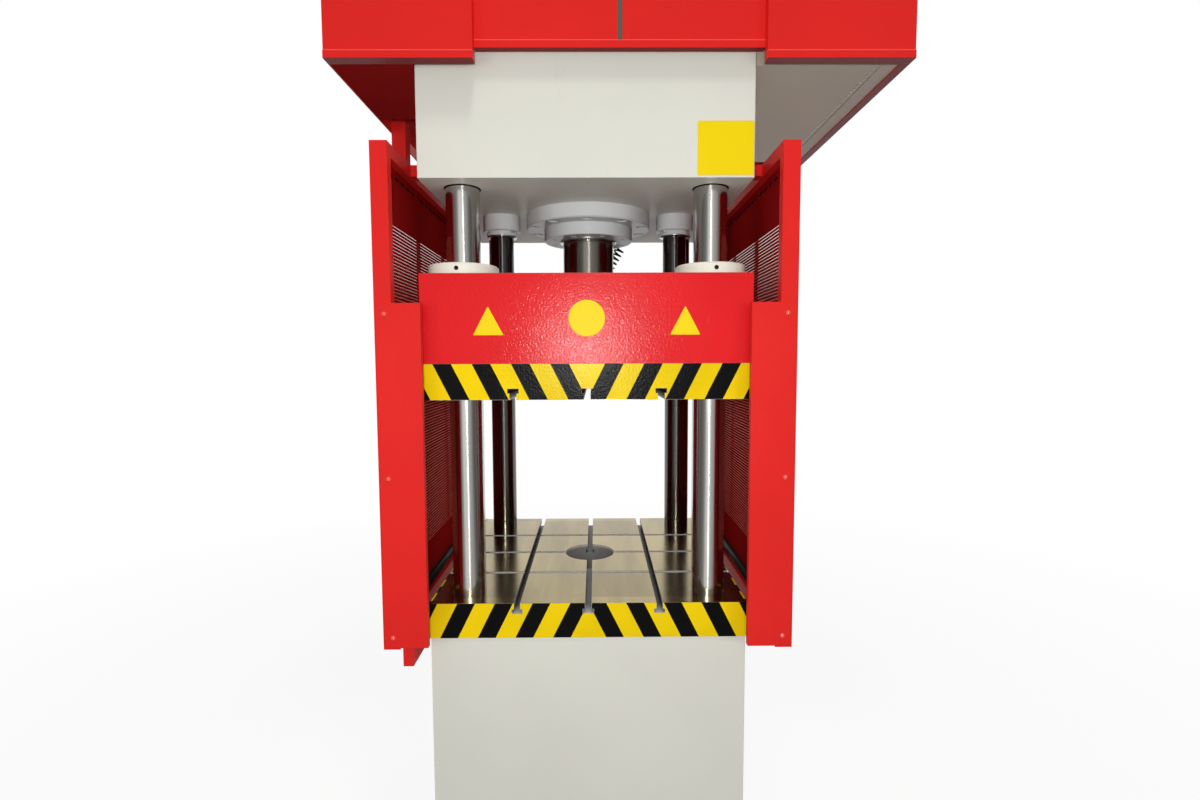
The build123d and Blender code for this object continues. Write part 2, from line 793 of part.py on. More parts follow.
def make_canopy_side_front(x0, x1, corner):
    """Outer front sheet: hemmed foot, bottom flange and a return to the recessed doors."""
    y0 = -canopy_front
    y1 = y0 + canopy_sheet
    sheet = block(x0, x1, y0, y1, canopy_bottom, canopy_ceiling)
    hem = make_canopy_hem(x0, x1, y0, canopy_bottom)
    flange = block(x0 + canopy_sheet, x1 - canopy_sheet, y0, y0 + canopy_flange,
                   canopy_bottom, canopy_bottom + canopy_sheet)
    inward = math.copysign(canopy_sheet, (x0 + x1) / 2 - corner)
    turn = block(corner, corner + inward, y0, -door_front + canopy_sheet, canopy_bottom, canopy_ceiling)
    return sheet + hem + flange + turn


def make_canopy_door(x0, x1, hem_end):
    """Recessed front door sheet with hemmed foot and bottom flange."""
    y0 = -door_front
    sheet = block(x0, x1, y0, y0 + canopy_sheet, canopy_door_bottom, canopy_ceiling)
    z0 = canopy_door_bottom
    hem = make_canopy_hem(x0, hem_end, y0, z0)
    flange = block(x0, hem_end, y0, y0 + canopy_door_flange, z0, z0 + canopy_sheet)
    return sheet + hem + flange


def make_canopy_left_side():
    """Left canopy sheet, full depth."""
    x0 = -canopy_left
    return block(x0, x0 + canopy_sheet, -canopy_front + canopy_sheet, canopy_rear,
                 canopy_bottom, canopy_ceiling)


def make_canopy_right_side():
    """Right canopy sheet with a bottom flange turned in under the tank."""
    y0 = -canopy_front + canopy_sheet
    sheet = block(canopy_right - canopy_sheet, canopy_right, y0, canopy_rear, canopy_bottom, canopy_ceiling)
    start = -canopy_front + canopy_flange
    return sheet + block(canopy_right - side_flange, canopy_right, start, canopy_rear,
                         canopy_bottom, tank_bottom)


def make_canopy_rear():
    """Rear canopy sheet with two banks of cooling slots."""
    x0 = -canopy_left + canopy_sheet
    x1 = canopy_right - canopy_sheet
    y0 = canopy_rear - canopy_sheet
    sheet = block(x0, x1, y0, canopy_rear, canopy_bottom + canopy_rail_height, canopy_ceiling)
    level = (canopy_bottom + canopy_ceiling - vent_pitch * (vent_count - 1)) / 2
    slot = Box(vent_length, 2 * canopy_sheet, vent_height)
    places = (x0 + vent_length, x1 - vent_length)
    return sheet - [Pos(x, y0 + canopy_sheet / 2, level + i * vent_pitch) * slot
                    for x in places for i in range(vent_count)]


def make_canopy_roof():
    """Roof sheet over the whole canopy."""
    return block(-canopy_left, canopy_right, -canopy_front, canopy_rear, canopy_ceiling, canopy_top)


def make_canopy_left_floor():
    """Floor sheet of the left front bay, resting on the front sheet's flange."""
    return block(-canopy_left + canopy_sheet, -crown_width / 2, -canopy_front + canopy_sheet,
                 canopy_floor_rear, canopy_bottom + canopy_sheet, canopy_bottom + 2 * canopy_sheet)


def make_canopy_left_post():
    """Tube post from the canopy's left rail down to the guard's top rail."""
    x0 = -canopy_left + canopy_sheet
    x1 = x0 + canopy_post_width
    low = guard_top - canopy_post_lap
    high = canopy_bottom + canopy_rail_height
    post = block(x0, x1, 0, canopy_post_depth, low, high)
    wall = guard_tube_wall
    post -= block(x0 + wall, x1 - wall, wall, canopy_post_depth - wall, low - overrun, high - wall)
    plate_top = guard_top - canopy_post_plate
    return post + block(x1, -guard_outer, 0, canopy_post_depth, low, plate_top)


def make_canopy_left_rail():
    """Bottom rail along the open left rear bay."""
    x0 = -canopy_left + canopy_sheet
    x1 = x0 + canopy_rail_width
    rail = block(x0, x1, canopy_post_depth, canopy_rear, canopy_bottom, canopy_bottom + canopy_rail_height)
    wall = guard_tube_wall
    return rail - block(x0 + wall, x1 - wall, canopy_post_depth + wall, canopy_rear + overrun,
                        canopy_bottom + wall, canopy_bottom + canopy_rail_height - wall)


def make_canopy_beams():
    """Two channel beams that carry the left canopy bay from the crown's top."""
    x0 = -canopy_left + canopy_sheet
    beams = []
    for y in (-beam_offset, beam_offset):
        beam = block(x0, -pullback_offset, y - beam_width / 2, y + beam_width / 2,
                     crown_top, crown_top + beam_height)
        inside = beam_width / 2 - beam_wall
        beam -= block(x0 - overrun, overrun - pullback_offset, y - inside, y + inside,
                      crown_top - overrun, crown_top + beam_height - beam_wall)
        beams.append(beam)
    return beams


def make_oil_tank():
    """Oil tank against the crown's right side: sheet box, filler hole and a seam under it."""
    x0 = crown_width / 2
    tank = block(x0, tank_right, -tank_front, tank_rear, tank_bottom, tank_top)
    room = block(x0 + tank_wall, tank_right - tank_wall, -tank_front + tank_wall, tank_rear - tank_wall,
                 tank_bottom + tank_wall, tank_top - tank_wall)
    tank -= room
    seam_x = tank_right - tank_seam_inset
    tank -= block(seam_x - tank_seam_width / 2, seam_x + tank_seam_width / 2, -tank_front - overrun,
                  tank_rear + overrun, tank_bottom - overrun, tank_bottom + tank_seam_depth)
    filler_x = (x0 + tank_right) / 2
    tank -= bar(tank_filler_diameter, tank_top - 2 * tank_wall, tank_top + overrun, filler_x,
                tank_rear - tank_filler_diameter)
    return tank


def along_y(shape, x, y, z):
    """Turn an upright solid to lie along Y at a place."""
    return Pos(x, y, z) * Rot(-90, 0, 0) * shape


motor_axis = tank_top + motor_foot_height + motor_diameter / 2


def make_motor():
    """Finned electric motor on its foot on the tank lid."""
    half = motor_length / 2
    body = bar(motor_diameter - 2 * motor_fin_height, -half, half)
    body += bar(motor_diameter - 4 * motor_fin_height, -half - motor_tail_length, -half)
    fin = Box(motor_diameter, motor_fin_width, motor_length)
    for i in range(motor_fin_count // 2):
        body += Rot(0, 0, 360 * i / motor_fin_count) * fin
    body = along_y(body, motor_offset_x, motor_offset_y, motor_axis)
    foot = block(motor_offset_x - motor_foot_width / 2, motor_offset_x + motor_foot_width / 2,
                 motor_offset_y - motor_foot_length / 2, motor_offset_y + motor_foot_length / 2,
                 tank_top, motor_axis - motor_diameter / 4)
    return body + foot


def make_pump():
    """Hydraulic pump flanged to the motor."""
    start = motor_offset_y + motor_length / 2
    shoulder = bar(pump_shoulder_diameter, 0, pump_shoulder_length)
    body = shoulder + bar(pump_diameter, pump_shoulder_length, pump_shoulder_length + pump_length)
    return along_y(body, motor_offset_x, start, motor_axis)


def make_valve_block():
    """Valve block on the crown's top, behind the main cylinder, with four solenoids."""
    y = block_offset_y
    top = crown_top + block_height
    body = block(-block_length / 2, block_length / 2, y - block_width / 2, y + block_width / 2,
                 crown_top, top)
    for place in (-block_length / 4, block_length / 4):
        solenoid = Cylinder(solenoid_diameter / 2, block_width + 2 * solenoid_length)
        level = top - solenoid_diameter
        body += Pos(place, y, level) * Rot(90, 0, 0) * solenoid
    return body


def make_pressure_pipe():
    """Bent pressure pipe from the valve block's top to the main cylinder's side."""
    y0 = block_offset_y
    y1 = barrel_diameter / 2
    z0 = crown_top + block_height
    z1 = z0 + pipe_rise
    path = FilletPolyline((0, y0, z0), (0, y0, z1), (0, y1, z1), radius=pipe_bend_radius)
    outer = sweep(Plane((0, y0, z0)) * Circle(pipe_diameter / 2), path)
    inner = sweep(Plane((0, y0, z0)) * Circle(pipe_diameter / 2 - pipe_wall), path)
    hollow = outer - inner
    return hollow - bar(barrel_diameter + 2 * barrel_clearance, z0, z1 + pipe_diameter)


def make_cable_gland():
    """Cable gland in the crown's underside."""
    return bar(cable_socket_diameter, crown_bottom - cable_gland_height, crown_bottom, cable_top_x, cable_y)


def make_cable_socket():
    """Cable socket on the slide's top."""
    return bar(cable_socket_diameter, slide_top, slide_top + cable_socket_height, cable_bottom_x, cable_y)


def make_curly_cable():
    """Envelope of the coiled cable between gland and socket, sheared sideways with its drop."""
    low = slide_top + cable_socket_height
    high = crown_bottom - cable_gland_height
    circle = Circle(cable_coil_diameter / 2)
    foot = Pos(cable_bottom_x, cable_y, low) * circle
    head = Pos(cable_top_x, cable_y, high) * circle
    return loft([foot, head])


def group(solids):
    """Several loose solids in one file."""
    return Compound(children=list(solids))


def build():
    """Make every piece under its node name."""
    pieces = {
        "base_frame": make_base(),
        "bed_plate": make_bed_plate(),
        "crown": make_crown(),
        "main_cylinder": make_main_cylinder(),
        "flange_screws": group(make_flange_screws()),
        "main_gland": make_gland(),
        "gland_screws": group(make_gland_screws()),
        "ram_wiper": make_wiper(ram_diameter, gland_bottom),
        "prefill_valve": make_prefill_valve(),
        "pullback_screws": group(make_pullback_screws()),
        "slide_plate": make_slide_plate(),
        "slide_body": make_slide_body(),
        "ram": make_ram(),
        "guard_cover_screws": group(make_cover_screws()),
        "guard_upper_arms": group(make_arms(guard_top - arm_height, crown_width / 2)),
        "guard_lower_arms": group(make_arms(bed_under, bed_width / 2)),
        "guard_bracket_left": make_guard_bracket(),
        "canopy_front_left": make_canopy_side_front(-canopy_left, door_left, door_left),
        "canopy_front_right": make_canopy_side_front(door_right, canopy_right, door_right),
        "canopy_left_side": make_canopy_left_side(),
        "canopy_right_side": make_canopy_right_side(),
        "canopy_rear": make_canopy_rear(),
        "canopy_roof": make_canopy_roof(),
        "canopy_left_floor": make_canopy_left_floor(),
        "canopy_left_post": make_canopy_left_post(),
        "canopy_left_rail": make_canopy_left_rail(),
        "canopy_beams": group(make_canopy_beams()),
        "oil_tank": make_oil_tank(),
        "pump_motor": make_motor(),
        "hydraulic_pump": make_pump(),
        "valve_block": make_valve_block(),
        "pressure_pipe": make_pressure_pipe(),
        "cable_gland": make_cable_gland(),
        "cable_socket": make_cable_socket(),
        "curly_cable": make_curly_cable(),
    }
    middle = (door_left + door_right) / 2
    seam = middle + canopy_door_gap / 2
    pieces["canopy_door_left"] = make_canopy_door(door_left, middle - canopy_door_gap / 2, seam)
    pieces["canopy_door_right"] = make_canopy_door(seam, door_right, door_right)
    top_nuts = []
    bottom_nuts = []
    for name, (x, y) in column_places.items():
        pieces["column_" + name] = make_column(x, y)
        pieces["guide_bush_" + name] = make_guide_bush(x, y)
        top_nuts.append(make_column_nut(x, y, crown_top))
        bottom_nuts.append(make_column_nut(x, y, bed_under - nut_height))
    pieces["column_top_nuts"] = group(top_nuts)
    pieces["column_bottom_nuts"] = group(bottom_nuts)
    wiper_level = crown_bottom - pullback_gland_height - pullback_collar_height
    wipers = []
    for name, side in sides.items():
        pieces["pullback_cylinder_" + name] = make_pullback_cylinder(side * pullback_offset)
        pieces["pullback_rod_" + name] = make_pullback_rod(side * pullback_offset)
        wipers.append(make_wiper(pullback_rod_diameter, wiper_level, side * pullback_offset))
        pieces["guard_frame_" + name] = make_guard_frame(side)
        pieces["guard_panel_" + name] = make_guard_panel(side)
        pieces["guard_seal_" + name] = make_guard_seal(side)
        pieces["guard_cover_" + name] = make_guard_cover(side)
    pieces["pullback_wipers"] = group(wipers)
    return pieces


os.makedirs("parts", exist_ok=True)
for node, shape in build().items():
    export_step(shape, "parts/" + node + ".step")
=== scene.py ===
"""Looks of a four-column hydraulic press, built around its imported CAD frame.

Metres, +Z up, the operator stands at -Y. CAD nodes and finished pieces sit at the
origin, so Object coordinates in every material are places on the press itself.
"""
import json
import logging
import math
from dataclasses import dataclass, field, replace
from enum import Enum
from typing import Dict, List, Optional, Sequence, Tuple, Union

import bmesh
import bpy
from mathutils import Matrix, Vector


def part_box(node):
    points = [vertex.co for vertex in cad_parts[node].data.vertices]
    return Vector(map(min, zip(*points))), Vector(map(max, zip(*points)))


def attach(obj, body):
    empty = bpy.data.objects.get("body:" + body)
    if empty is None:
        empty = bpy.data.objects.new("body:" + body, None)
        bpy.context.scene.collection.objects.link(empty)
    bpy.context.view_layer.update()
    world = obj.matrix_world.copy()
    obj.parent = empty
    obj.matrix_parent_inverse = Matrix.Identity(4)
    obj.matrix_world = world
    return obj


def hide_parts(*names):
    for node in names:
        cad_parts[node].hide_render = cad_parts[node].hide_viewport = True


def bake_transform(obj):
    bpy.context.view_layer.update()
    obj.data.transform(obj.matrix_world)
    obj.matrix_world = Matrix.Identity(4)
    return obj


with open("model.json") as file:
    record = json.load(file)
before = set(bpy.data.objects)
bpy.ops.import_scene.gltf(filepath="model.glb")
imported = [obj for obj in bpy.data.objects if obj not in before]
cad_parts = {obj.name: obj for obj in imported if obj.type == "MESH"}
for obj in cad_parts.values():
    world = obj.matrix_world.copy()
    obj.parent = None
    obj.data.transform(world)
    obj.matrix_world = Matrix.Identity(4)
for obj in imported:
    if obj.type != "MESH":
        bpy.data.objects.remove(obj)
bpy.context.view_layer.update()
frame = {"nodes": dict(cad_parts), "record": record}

log = logging.getLogger("press")

Colour = Tuple[float, float, float]
Point = Tuple[float, float, float]
Outline = List[Tuple[float, float]]
Ring = List[bmesh.types.BMVert]

EVEN: Point = (1.0, 1.0, 1.0)
WHITE: Colour = (1.0, 1.0, 1.0)
BLACK: Colour = (0.0, 0.0, 0.0)
# Pale pink painted on grained paint as glints of light.
PAINTED_GLINT_SPECK: Colour = (0.9, 0.72, 0.7)
LYING_DUST: Colour = (0.2, 0.145, 0.12)
OIL_BLOTCH: Colour = (0.24, 0.19, 0.12)
NICK_TONE: Colour = (0.14, 0.12, 0.1)
RUBBED_INK: Colour = (0.06, 0.06, 0.06)
HOLE_SLACK = 1.01
SHEET_SLACK = 0.0001
SLOT_SLACK = 0.0003
FOLD_HEIGHT = 0.0205
GUARD_SIDES = (("left", -1.0), ("right", 1.0))


class Body(Enum):
    """The two CAD bodies of the press."""

    FRAME = "frame"
    SLIDE = "slide"


class Edge(Enum):
    """The edge of a striped band that the slot mouths open through."""

    TOP = "top"
    BOTTOM = "bottom"


class Axis(Enum):
    """The press's axes, by their place in a vector."""

    X = 0
    Y = 1
    Z = 2


def linear(red: int, green: int, blue: int) -> Colour:
    """Turn a colour as a screen shows it into the linear values that shaders take.

    Args:
        red: Red from 0 to 255.
        green: Green from 0 to 255.
        blue: Blue from 0 to 255.

    Returns:
        The linear colour.
    """
    shares = [channel / 255.0 for channel in (red, green, blue)]
    return tuple(s / 12.92 if s <= 0.04045 else ((s + 0.055) / 1.055) ** 2.4 for s in shares)


def scaled(colour: Colour, share: float) -> Colour:
    """Return a colour made lighter or darker by a share."""
    return tuple(min(1.0, channel * share) for channel in colour)


class Field:
    """A value that varies over a surface or a mesh: a node socket whose arithmetic adds Math nodes."""

    def __init__(self, bench: "Bench", socket: bpy.types.NodeSocket) -> None:
        """Hold a socket and the bench whose node tree it is in."""
        self.bench = bench
        self.socket = socket

    def maths(self, operation: str, *values: "Amount", clamp: bool = False) -> "Field":
        """Add one Math node.

        Args:
            operation: The Math node's operation.
            values: Its inputs in order.
            clamp: Whether the result is held between 0 and 1.

        Returns:
            The node's result.
        """
        settings = {"operation": operation, "use_clamp": clamp}
        return self.bench.node("ShaderNodeMath", settings, dict(enumerate(values)))

    def __add__(self, other: "Amount") -> "Field":
        """Return the sum."""
        return self.maths("ADD", self, other)

    def __radd__(self, other: "Amount") -> "Field":
        """Return the sum with a number on the left."""
        return self.maths("ADD", other, self)

    def __sub__(self, other: "Amount") -> "Field":
        """Return the difference."""
        return self.maths("SUBTRACT", self, other)

    def __rsub__(self, other: "Amount") -> "Field":
        """Return the difference with a number on the left."""
        return self.maths("SUBTRACT", other, self)

    def __mul__(self, other: "Amount") -> "Field":
        """Return the product."""
        return self.maths("MULTIPLY", self, other)

    def __rmul__(self, other: "Amount") -> "Field":
        """Return the product with a number on the left."""
        return self.maths("MULTIPLY", other, self)

    def __truediv__(self, other: "Amount") -> "Field":
        """Return the quotient."""
        return self.maths("DIVIDE", self, other)

    def __abs__(self) -> "Field":
        """Return the value without its sign."""
        return self.maths("ABSOLUTE", self)

    def __lt__(self, other: "Amount") -> "Field":
        """Return 1 where this is less, and 0 elsewhere."""
        return self.maths("LESS_THAN", self, other)

    def __gt__(self, other: "Amount") -> "Field":
        """Return 1 where this is greater, and 0 elsewhere."""
        return self.maths("GREATER_THAN", self, other)

    def floor(self) -> "Field":
        """Return the whole number below."""
        return self.maths("FLOOR", self)

    def upper(self, other: "Amount") -> "Field":
        """Return the larger of two values."""
        return self.maths("MAXIMUM", self, other)

    def sine(self) -> "Field":
        """Return the sine."""
        return self.maths("SINE", self)

    def cosine(self) -> "Field":
        """Return the cosine."""
        return self.maths("COSINE", self)

    def held(self) -> "Field":
        """Return the value held between 0 and 1."""
        return self.maths("ADD", self, 0.0, clamp=True)

    def rise(self, low: float, high: float) -> "Field":
        """Return a smooth step.

        Args:
            low: The value at and below which the result is 0.
            high: The value at and above which the result is 1. It may be under low.

        Returns:
            The step, from 0 to 1.
        """
        settings = {"interpolation_type": "SMOOTHSTEP"}
        limits = {"Value": self, "From Min": low, "From Max": high, "To Min": 0.0, "To Max": 1.0}
        return self.bench.node("ShaderNodeMapRange", settings, limits)


Amount = Union[Field, float]
Tint = Union[Field, Colour]


class Bench:
    """A node tree, with one method that adds any node to it."""

    def __init__(self, tree: bpy.types.NodeTree) -> None:
        """Start with the tree empty."""
        self.tree = tree
        self.tree.nodes.clear()

    def wire(self, socket: bpy.types.NodeSocket, value: object) -> None:
        """Link a field or a list of fields to a socket, or set a number, colour or vector on it.

        Args:
            socket: The input socket.
            value: What it gets.
        """
        if isinstance(value, list):
            for part in value:
                self.wire(socket, part)
        elif isinstance(value, Field):
            self.tree.links.new(value.socket, socket)
        elif socket.type == "RGBA" and len(value) == 3:
            socket.default_value = (*value, 1.0)
        else:
            socket.default_value = value

    def node(self, kind: str, settings: Optional[Dict[str, object]] = None,
             inputs: Optional[Dict[Union[int, str], object]] = None,
             output: Union[int, str] = 0) -> Field:
        """Add any node.

        Args:
            kind: The node's type.
            settings: Its own settings, set first.
            inputs: Values or fields for its sockets, by name or place.
            output: The socket to return.

        Returns:
            That output.
        """
        made = self.tree.nodes.new(kind)
        for name, value in (settings or {}).items():
            setattr(made, name, value)
        for key, value in (inputs or {}).items():
            self.wire(made.inputs[key], value)
        return Field(self, made.outputs[output])

    def end(self, kind: str, name: str, result: Field) -> None:
        """Add the node that ends the tree.

        Args:
            kind: The node's type.
            name: Its input socket.
            result: What goes there.
        """
        self.wire(self.tree.nodes.new(kind).inputs[name], result)


class FinishBench(Bench):
    """One material's node tree, with a method for each kind of wiring that the finishes need."""

    def __init__(self, name: str) -> None:
        """Start a material with a Principled shader alone."""
        self.material = bpy.data.materials.new(name)
        self.material.use_nodes = True
        super().__init__(self.material.node_tree)
        self.shader = self.tree.nodes.new("ShaderNodeBsdfPrincipled")
        self.end("ShaderNodeOutputMaterial", "Surface", Field(self, self.shader.outputs["BSDF"]))

    def place(self) -> Field:
        """Return the place on the press as a vector."""
        return self.node("ShaderNodeTexCoord", output="Object")

    def along(self, axis: Axis, vector: Optional[Field] = None) -> Field:
        """Return one coordinate of a vector, or of the place on the press."""
        split = {"Vector": vector or self.place()}
        return self.node("ShaderNodeSeparateXYZ", inputs=split, output=axis.value)

    def uv(self) -> Field:
        """Return the piece's own UV map, in metres along and up its face."""
        return self.node("ShaderNodeTexCoord", output="UV")

    def spread(self, stretch: Point) -> Field:
        """Return the place on the press with each axis scaled by a share."""
        return self.node("ShaderNodeMapping", {"vector_type": "POINT"},
                         {"Vector": self.place(), "Scale": stretch})

    def noise(self, scale: float, detail: float = 2.0, stretch: Point = EVEN, roughness: float = 0.5) -> Field:
        """Return cloudy noise.

        Args:
            scale: Clouds to a metre.
            detail: Octaves.
            stretch: A share of the scale along each axis: small makes long streaks.
            roughness: Weight of the finer octaves.

        Returns:
            The noise, about 0.5.
        """
        sizes = {"Scale": scale, "Detail": detail, "Roughness": roughness}
        return self.node("ShaderNodeTexNoise", {"noise_dimensions": "3D"},
                         {"Vector": self.spread(stretch), **sizes})

    def cells(self, scale: float, stretch: Point = EVEN) -> Field:
        """Return the distance to the nearest of scattered points.

        Args:
            scale: Points to a metre.
            stretch: A share of the scale along each axis.

        Returns:
            The distance, in cells.
        """
        return self.node("ShaderNodeTexVoronoi", {"feature": "F1"},
                         {"Vector": self.spread(stretch), "Scale": scale}, output="Distance")

    def chance(self, first: Field, second: Amount) -> Field:
        """Return one even random value for each pair of whole numbers."""
        pair = self.node("ShaderNodeCombineXYZ", inputs={0: first, 1: second, 2: 0.0})
        return self.node("ShaderNodeTexWhiteNoise", {"noise_dimensions": "2D"}, {"Vector": pair})

    def mix(self, share: Amount, first: Tint, second: Tint) -> Field:
        """Return a blend of two colours.

        Args:
            share: How much of the second colour.
            first: The colour at 0.
            second: The colour at 1.

        Returns:
            The blended colour.
        """
        settings = {"data_type": "RGBA", "clamp_factor": True}
        return self.node("ShaderNodeMix", settings, {0: share, 6: first, 7: second}, output=2)

    def bump(self, height: Field, depth: float, strength: float = 1.0,
             below: Optional[Field] = None) -> Field:
        """Return a surface direction roughened by a height.

        Args:
            height: The height, about 0 to 1.
            depth: Metres for a height of 1.
            strength: The share of the effect.
            below: A direction from another bump to build on.

        Returns:
            The surface direction.
        """
        inputs = {"Height": height, "Distance": depth, "Strength": strength}
        if below is not None:
            inputs["Normal"] = below
        return self.node("ShaderNodeBump", inputs=inputs)

    def worn_edge(self, radius: float) -> Field:
        """Return a surface direction that turns softly over sharp edges.

        Args:
            radius: Radius of the rounding in metres.

        Returns:
            The surface direction.
        """
        return self.node("ShaderNodeBevel", {"samples": 4}, {"Radius": radius})

    def dress(self, **values: Union[Tint, Amount]) -> bpy.types.Material:
        """Set the shader's sockets.

        Args:
            values: Socket names with underscores for spaces, and what each gets.

        Returns:
            The finished material.
        """
        for name, value in values.items():
            self.wire(self.shader.inputs[name.replace("_", " ")], value)
        return self.material


@dataclass(frozen=True)
class Bore:
    """Small cross holes along Y, mirrored about the press's middle, with painted shade inside.

    Attributes:
        across: Distance of the holes from the middle.
        height: Their height.
        radius: Their radius.
        tint: The painted shade inside.
    """

    across: float
    height: float
    radius: float
    tint: Colour

    def mask(self, bench: FinishBench) -> Field:
        """Return 1 inside the holes and 0 elsewhere."""
        aside = abs(bench.along(Axis.X)) - self.across
        above = bench.along(Axis.Z) - self.height
        return (aside * aside + above * above) < (self.radius * HOLE_SLACK) ** 2


@dataclass(frozen=True)
class CutRow:
    """A row of slots through an upright sheet on either side, with painted shade inside.

    Attributes:
        inner: Distance of the sheet's inner face from the middle.
        outer: Distance of its outer face.
        height: Height of the slots' middle.
        reach: Half the slots' height.
        tint: The painted shade inside.
    """

    inner: float
    outer: float
    height: float
    reach: float
    tint: Colour

    def mask(self, bench: FinishBench) -> Field:
        """Return 1 inside the slots and 0 elsewhere."""
        aside = abs(bench.along(Axis.X))
        above = abs(bench.along(Axis.Z) - self.height)
        within = (aside > self.inner + SHEET_SLACK) * (aside < self.outer - SHEET_SLACK)
        return within * (above < self.reach + SLOT_SLACK)


@dataclass(frozen=True)
class LevelBand:
    """A level band of another tone: a painted highlight along a fold, or painted shade on the underside of a
    sheet.

    Attributes:
        height: Height of the band's middle.
        reach: Half its height.
        tint: Its colour.
    """

    height: float
    reach: float
    tint: Colour

    def mask(self, bench: FinishBench) -> Field:
        """Return 1 on the band and 0 elsewhere."""
        return abs(bench.along(Axis.Z) - self.height) < self.reach


@dataclass(frozen=True)
class Paint:
    """Sprayed machine paint: a soft cloud of tone, orange peel, and small scuffs.

    Attributes:
        name: The finish's name.
        colour: Its linear colour.
        roughness: How matt it is.
        peel: Orange-peel lumps to a metre.
        peel_depth: Their height in metres.
        coat: Weight of the clear gloss on top.
        glint_speckle: Strength of the pale specks painted on a grained coat as glints.
        cloud: Spread of tone over the surface.
        grime: Strength of the soiling.
        soil: Colour of the soiling.
        gloss: Strength of the bare paint's own reflection.
        edge: Radius that the paint gives sharp edges.
        marks: Places with a tint of their own: painted shade in holes and slots, and a painted highlight and
            painted shade along folds.
        dusty_above: Height above which the paint lies under dust, where it does.
    """

    name: str
    colour: Colour
    roughness: float = 0.32
    peel: float = 260.0
    peel_depth: float = 0.00012
    coat: float = 0.0
    glint_speckle: float = 0.0
    cloud: float = 0.07
    grime: float = 0.12
    soil: Colour = (0.09, 0.07, 0.05)
    gloss: float = 0.25
    edge: float = 0.0012
    marks: Tuple[Union[Bore, CutRow, LevelBand], ...] = ()
    dusty_above: Optional[float] = None

    def material(self) -> bpy.types.Material:
        """Return the finish as a material."""
        bench = FinishBench(self.name)
        cloud = bench.noise(2.6, 3.0)
        streak = bench.noise(9.0, 4.0, (1.0, 1.0, 0.18), 0.6)
        peel = bench.noise(self.peel, 2.0)
        tone = bench.mix(cloud.rise(0.3, 0.7), scaled(self.colour, 1.0 - self.cloud),
                         scaled(self.colour, 1.0 + self.cloud))
        rub = (bench.noise(34.0, 5.0, (1.0, 1.0, 0.5), 0.7) * streak).rise(0.36, 0.5)
        tone = bench.mix(rub * self.grime, tone, self.soil)
        # Pale specks painted into the colour as glints of light on the grain.
        if self.glint_speckle:
            strewn = bench.noise(11.0, 3.0).rise(0.4, 0.62)
            glint_specks = bench.cells(self.peel * 1.4).rise(0.22, 0.06) * strewn
            tone = bench.mix(glint_specks * self.glint_speckle, tone, PAINTED_GLINT_SPECK)
        if self.dusty_above:
            lying = bench.along(Axis.Z) > self.dusty_above
            tone = bench.mix(lying * (0.82 + streak * 0.2), tone, LYING_DUST)
        # Marks lay painted shade and painted highlights on holes, slots and folds.
        for mark in self.marks:
            tone = bench.mix(mark.mask(bench), tone, mark.tint)
        rough = self.roughness + (cloud - 0.5) * 0.12 + rub * 0.2
        lumpy = bench.bump(peel, self.peel_depth, below=bench.worn_edge(self.edge))
        return bench.dress(Base_Color=tone, Roughness=rough, Coat_Weight=self.coat, Coat_Roughness=0.12,
                           Specular_IOR_Level=self.gloss, Normal=lumpy)


@dataclass(frozen=True)
class Chrome:
    """Hard chrome on a ground bar, with fine turning lines, streaks of oil and a stained foot.

    Attributes:
        name: The finish's name.
        colour: Its linear colour.
        stain: Colour of the oil stain.
        foot: Height at which the stain near the bed begins, in metres.
        fade: Height over which it fades, in metres.
        roughness: How dull it is.
    """

    name: str
    colour: Colour
    stain: Colour
    foot: float
    fade: float
    roughness: float = 0.1

    def material(self) -> bpy.types.Material:
        """Return the finish as a material."""
        bench = FinishBench(self.name)
        height = bench.along(Axis.Z)
        rings = bench.noise(900.0, 2.0, (0.02, 0.02, 1.0))
        runs = bench.noise(70.0, 4.0, (1.0, 1.0, 0.03), 0.6)
        spots = bench.noise(60.0, 5.0, (1.0, 1.0, 0.6), 0.7)
        low = height.rise(self.foot + self.fade, self.foot)
        soiled = (low * runs.rise(0.35, 0.75) * 0.75 + spots.rise(0.66, 0.75) * 0.35).held()
        clean = bench.mix(runs, scaled(self.colour, 0.9), scaled(self.colour, 1.06))
        tone = bench.mix(soiled, clean, self.stain)
        rough = self.roughness + (runs - 0.5) * 0.08 + soiled * 0.16
        return bench.dress(Base_Color=tone, Roughness=rough, Metallic=1.0,
                           Normal=bench.bump(rings, 0.00002, 0.5))


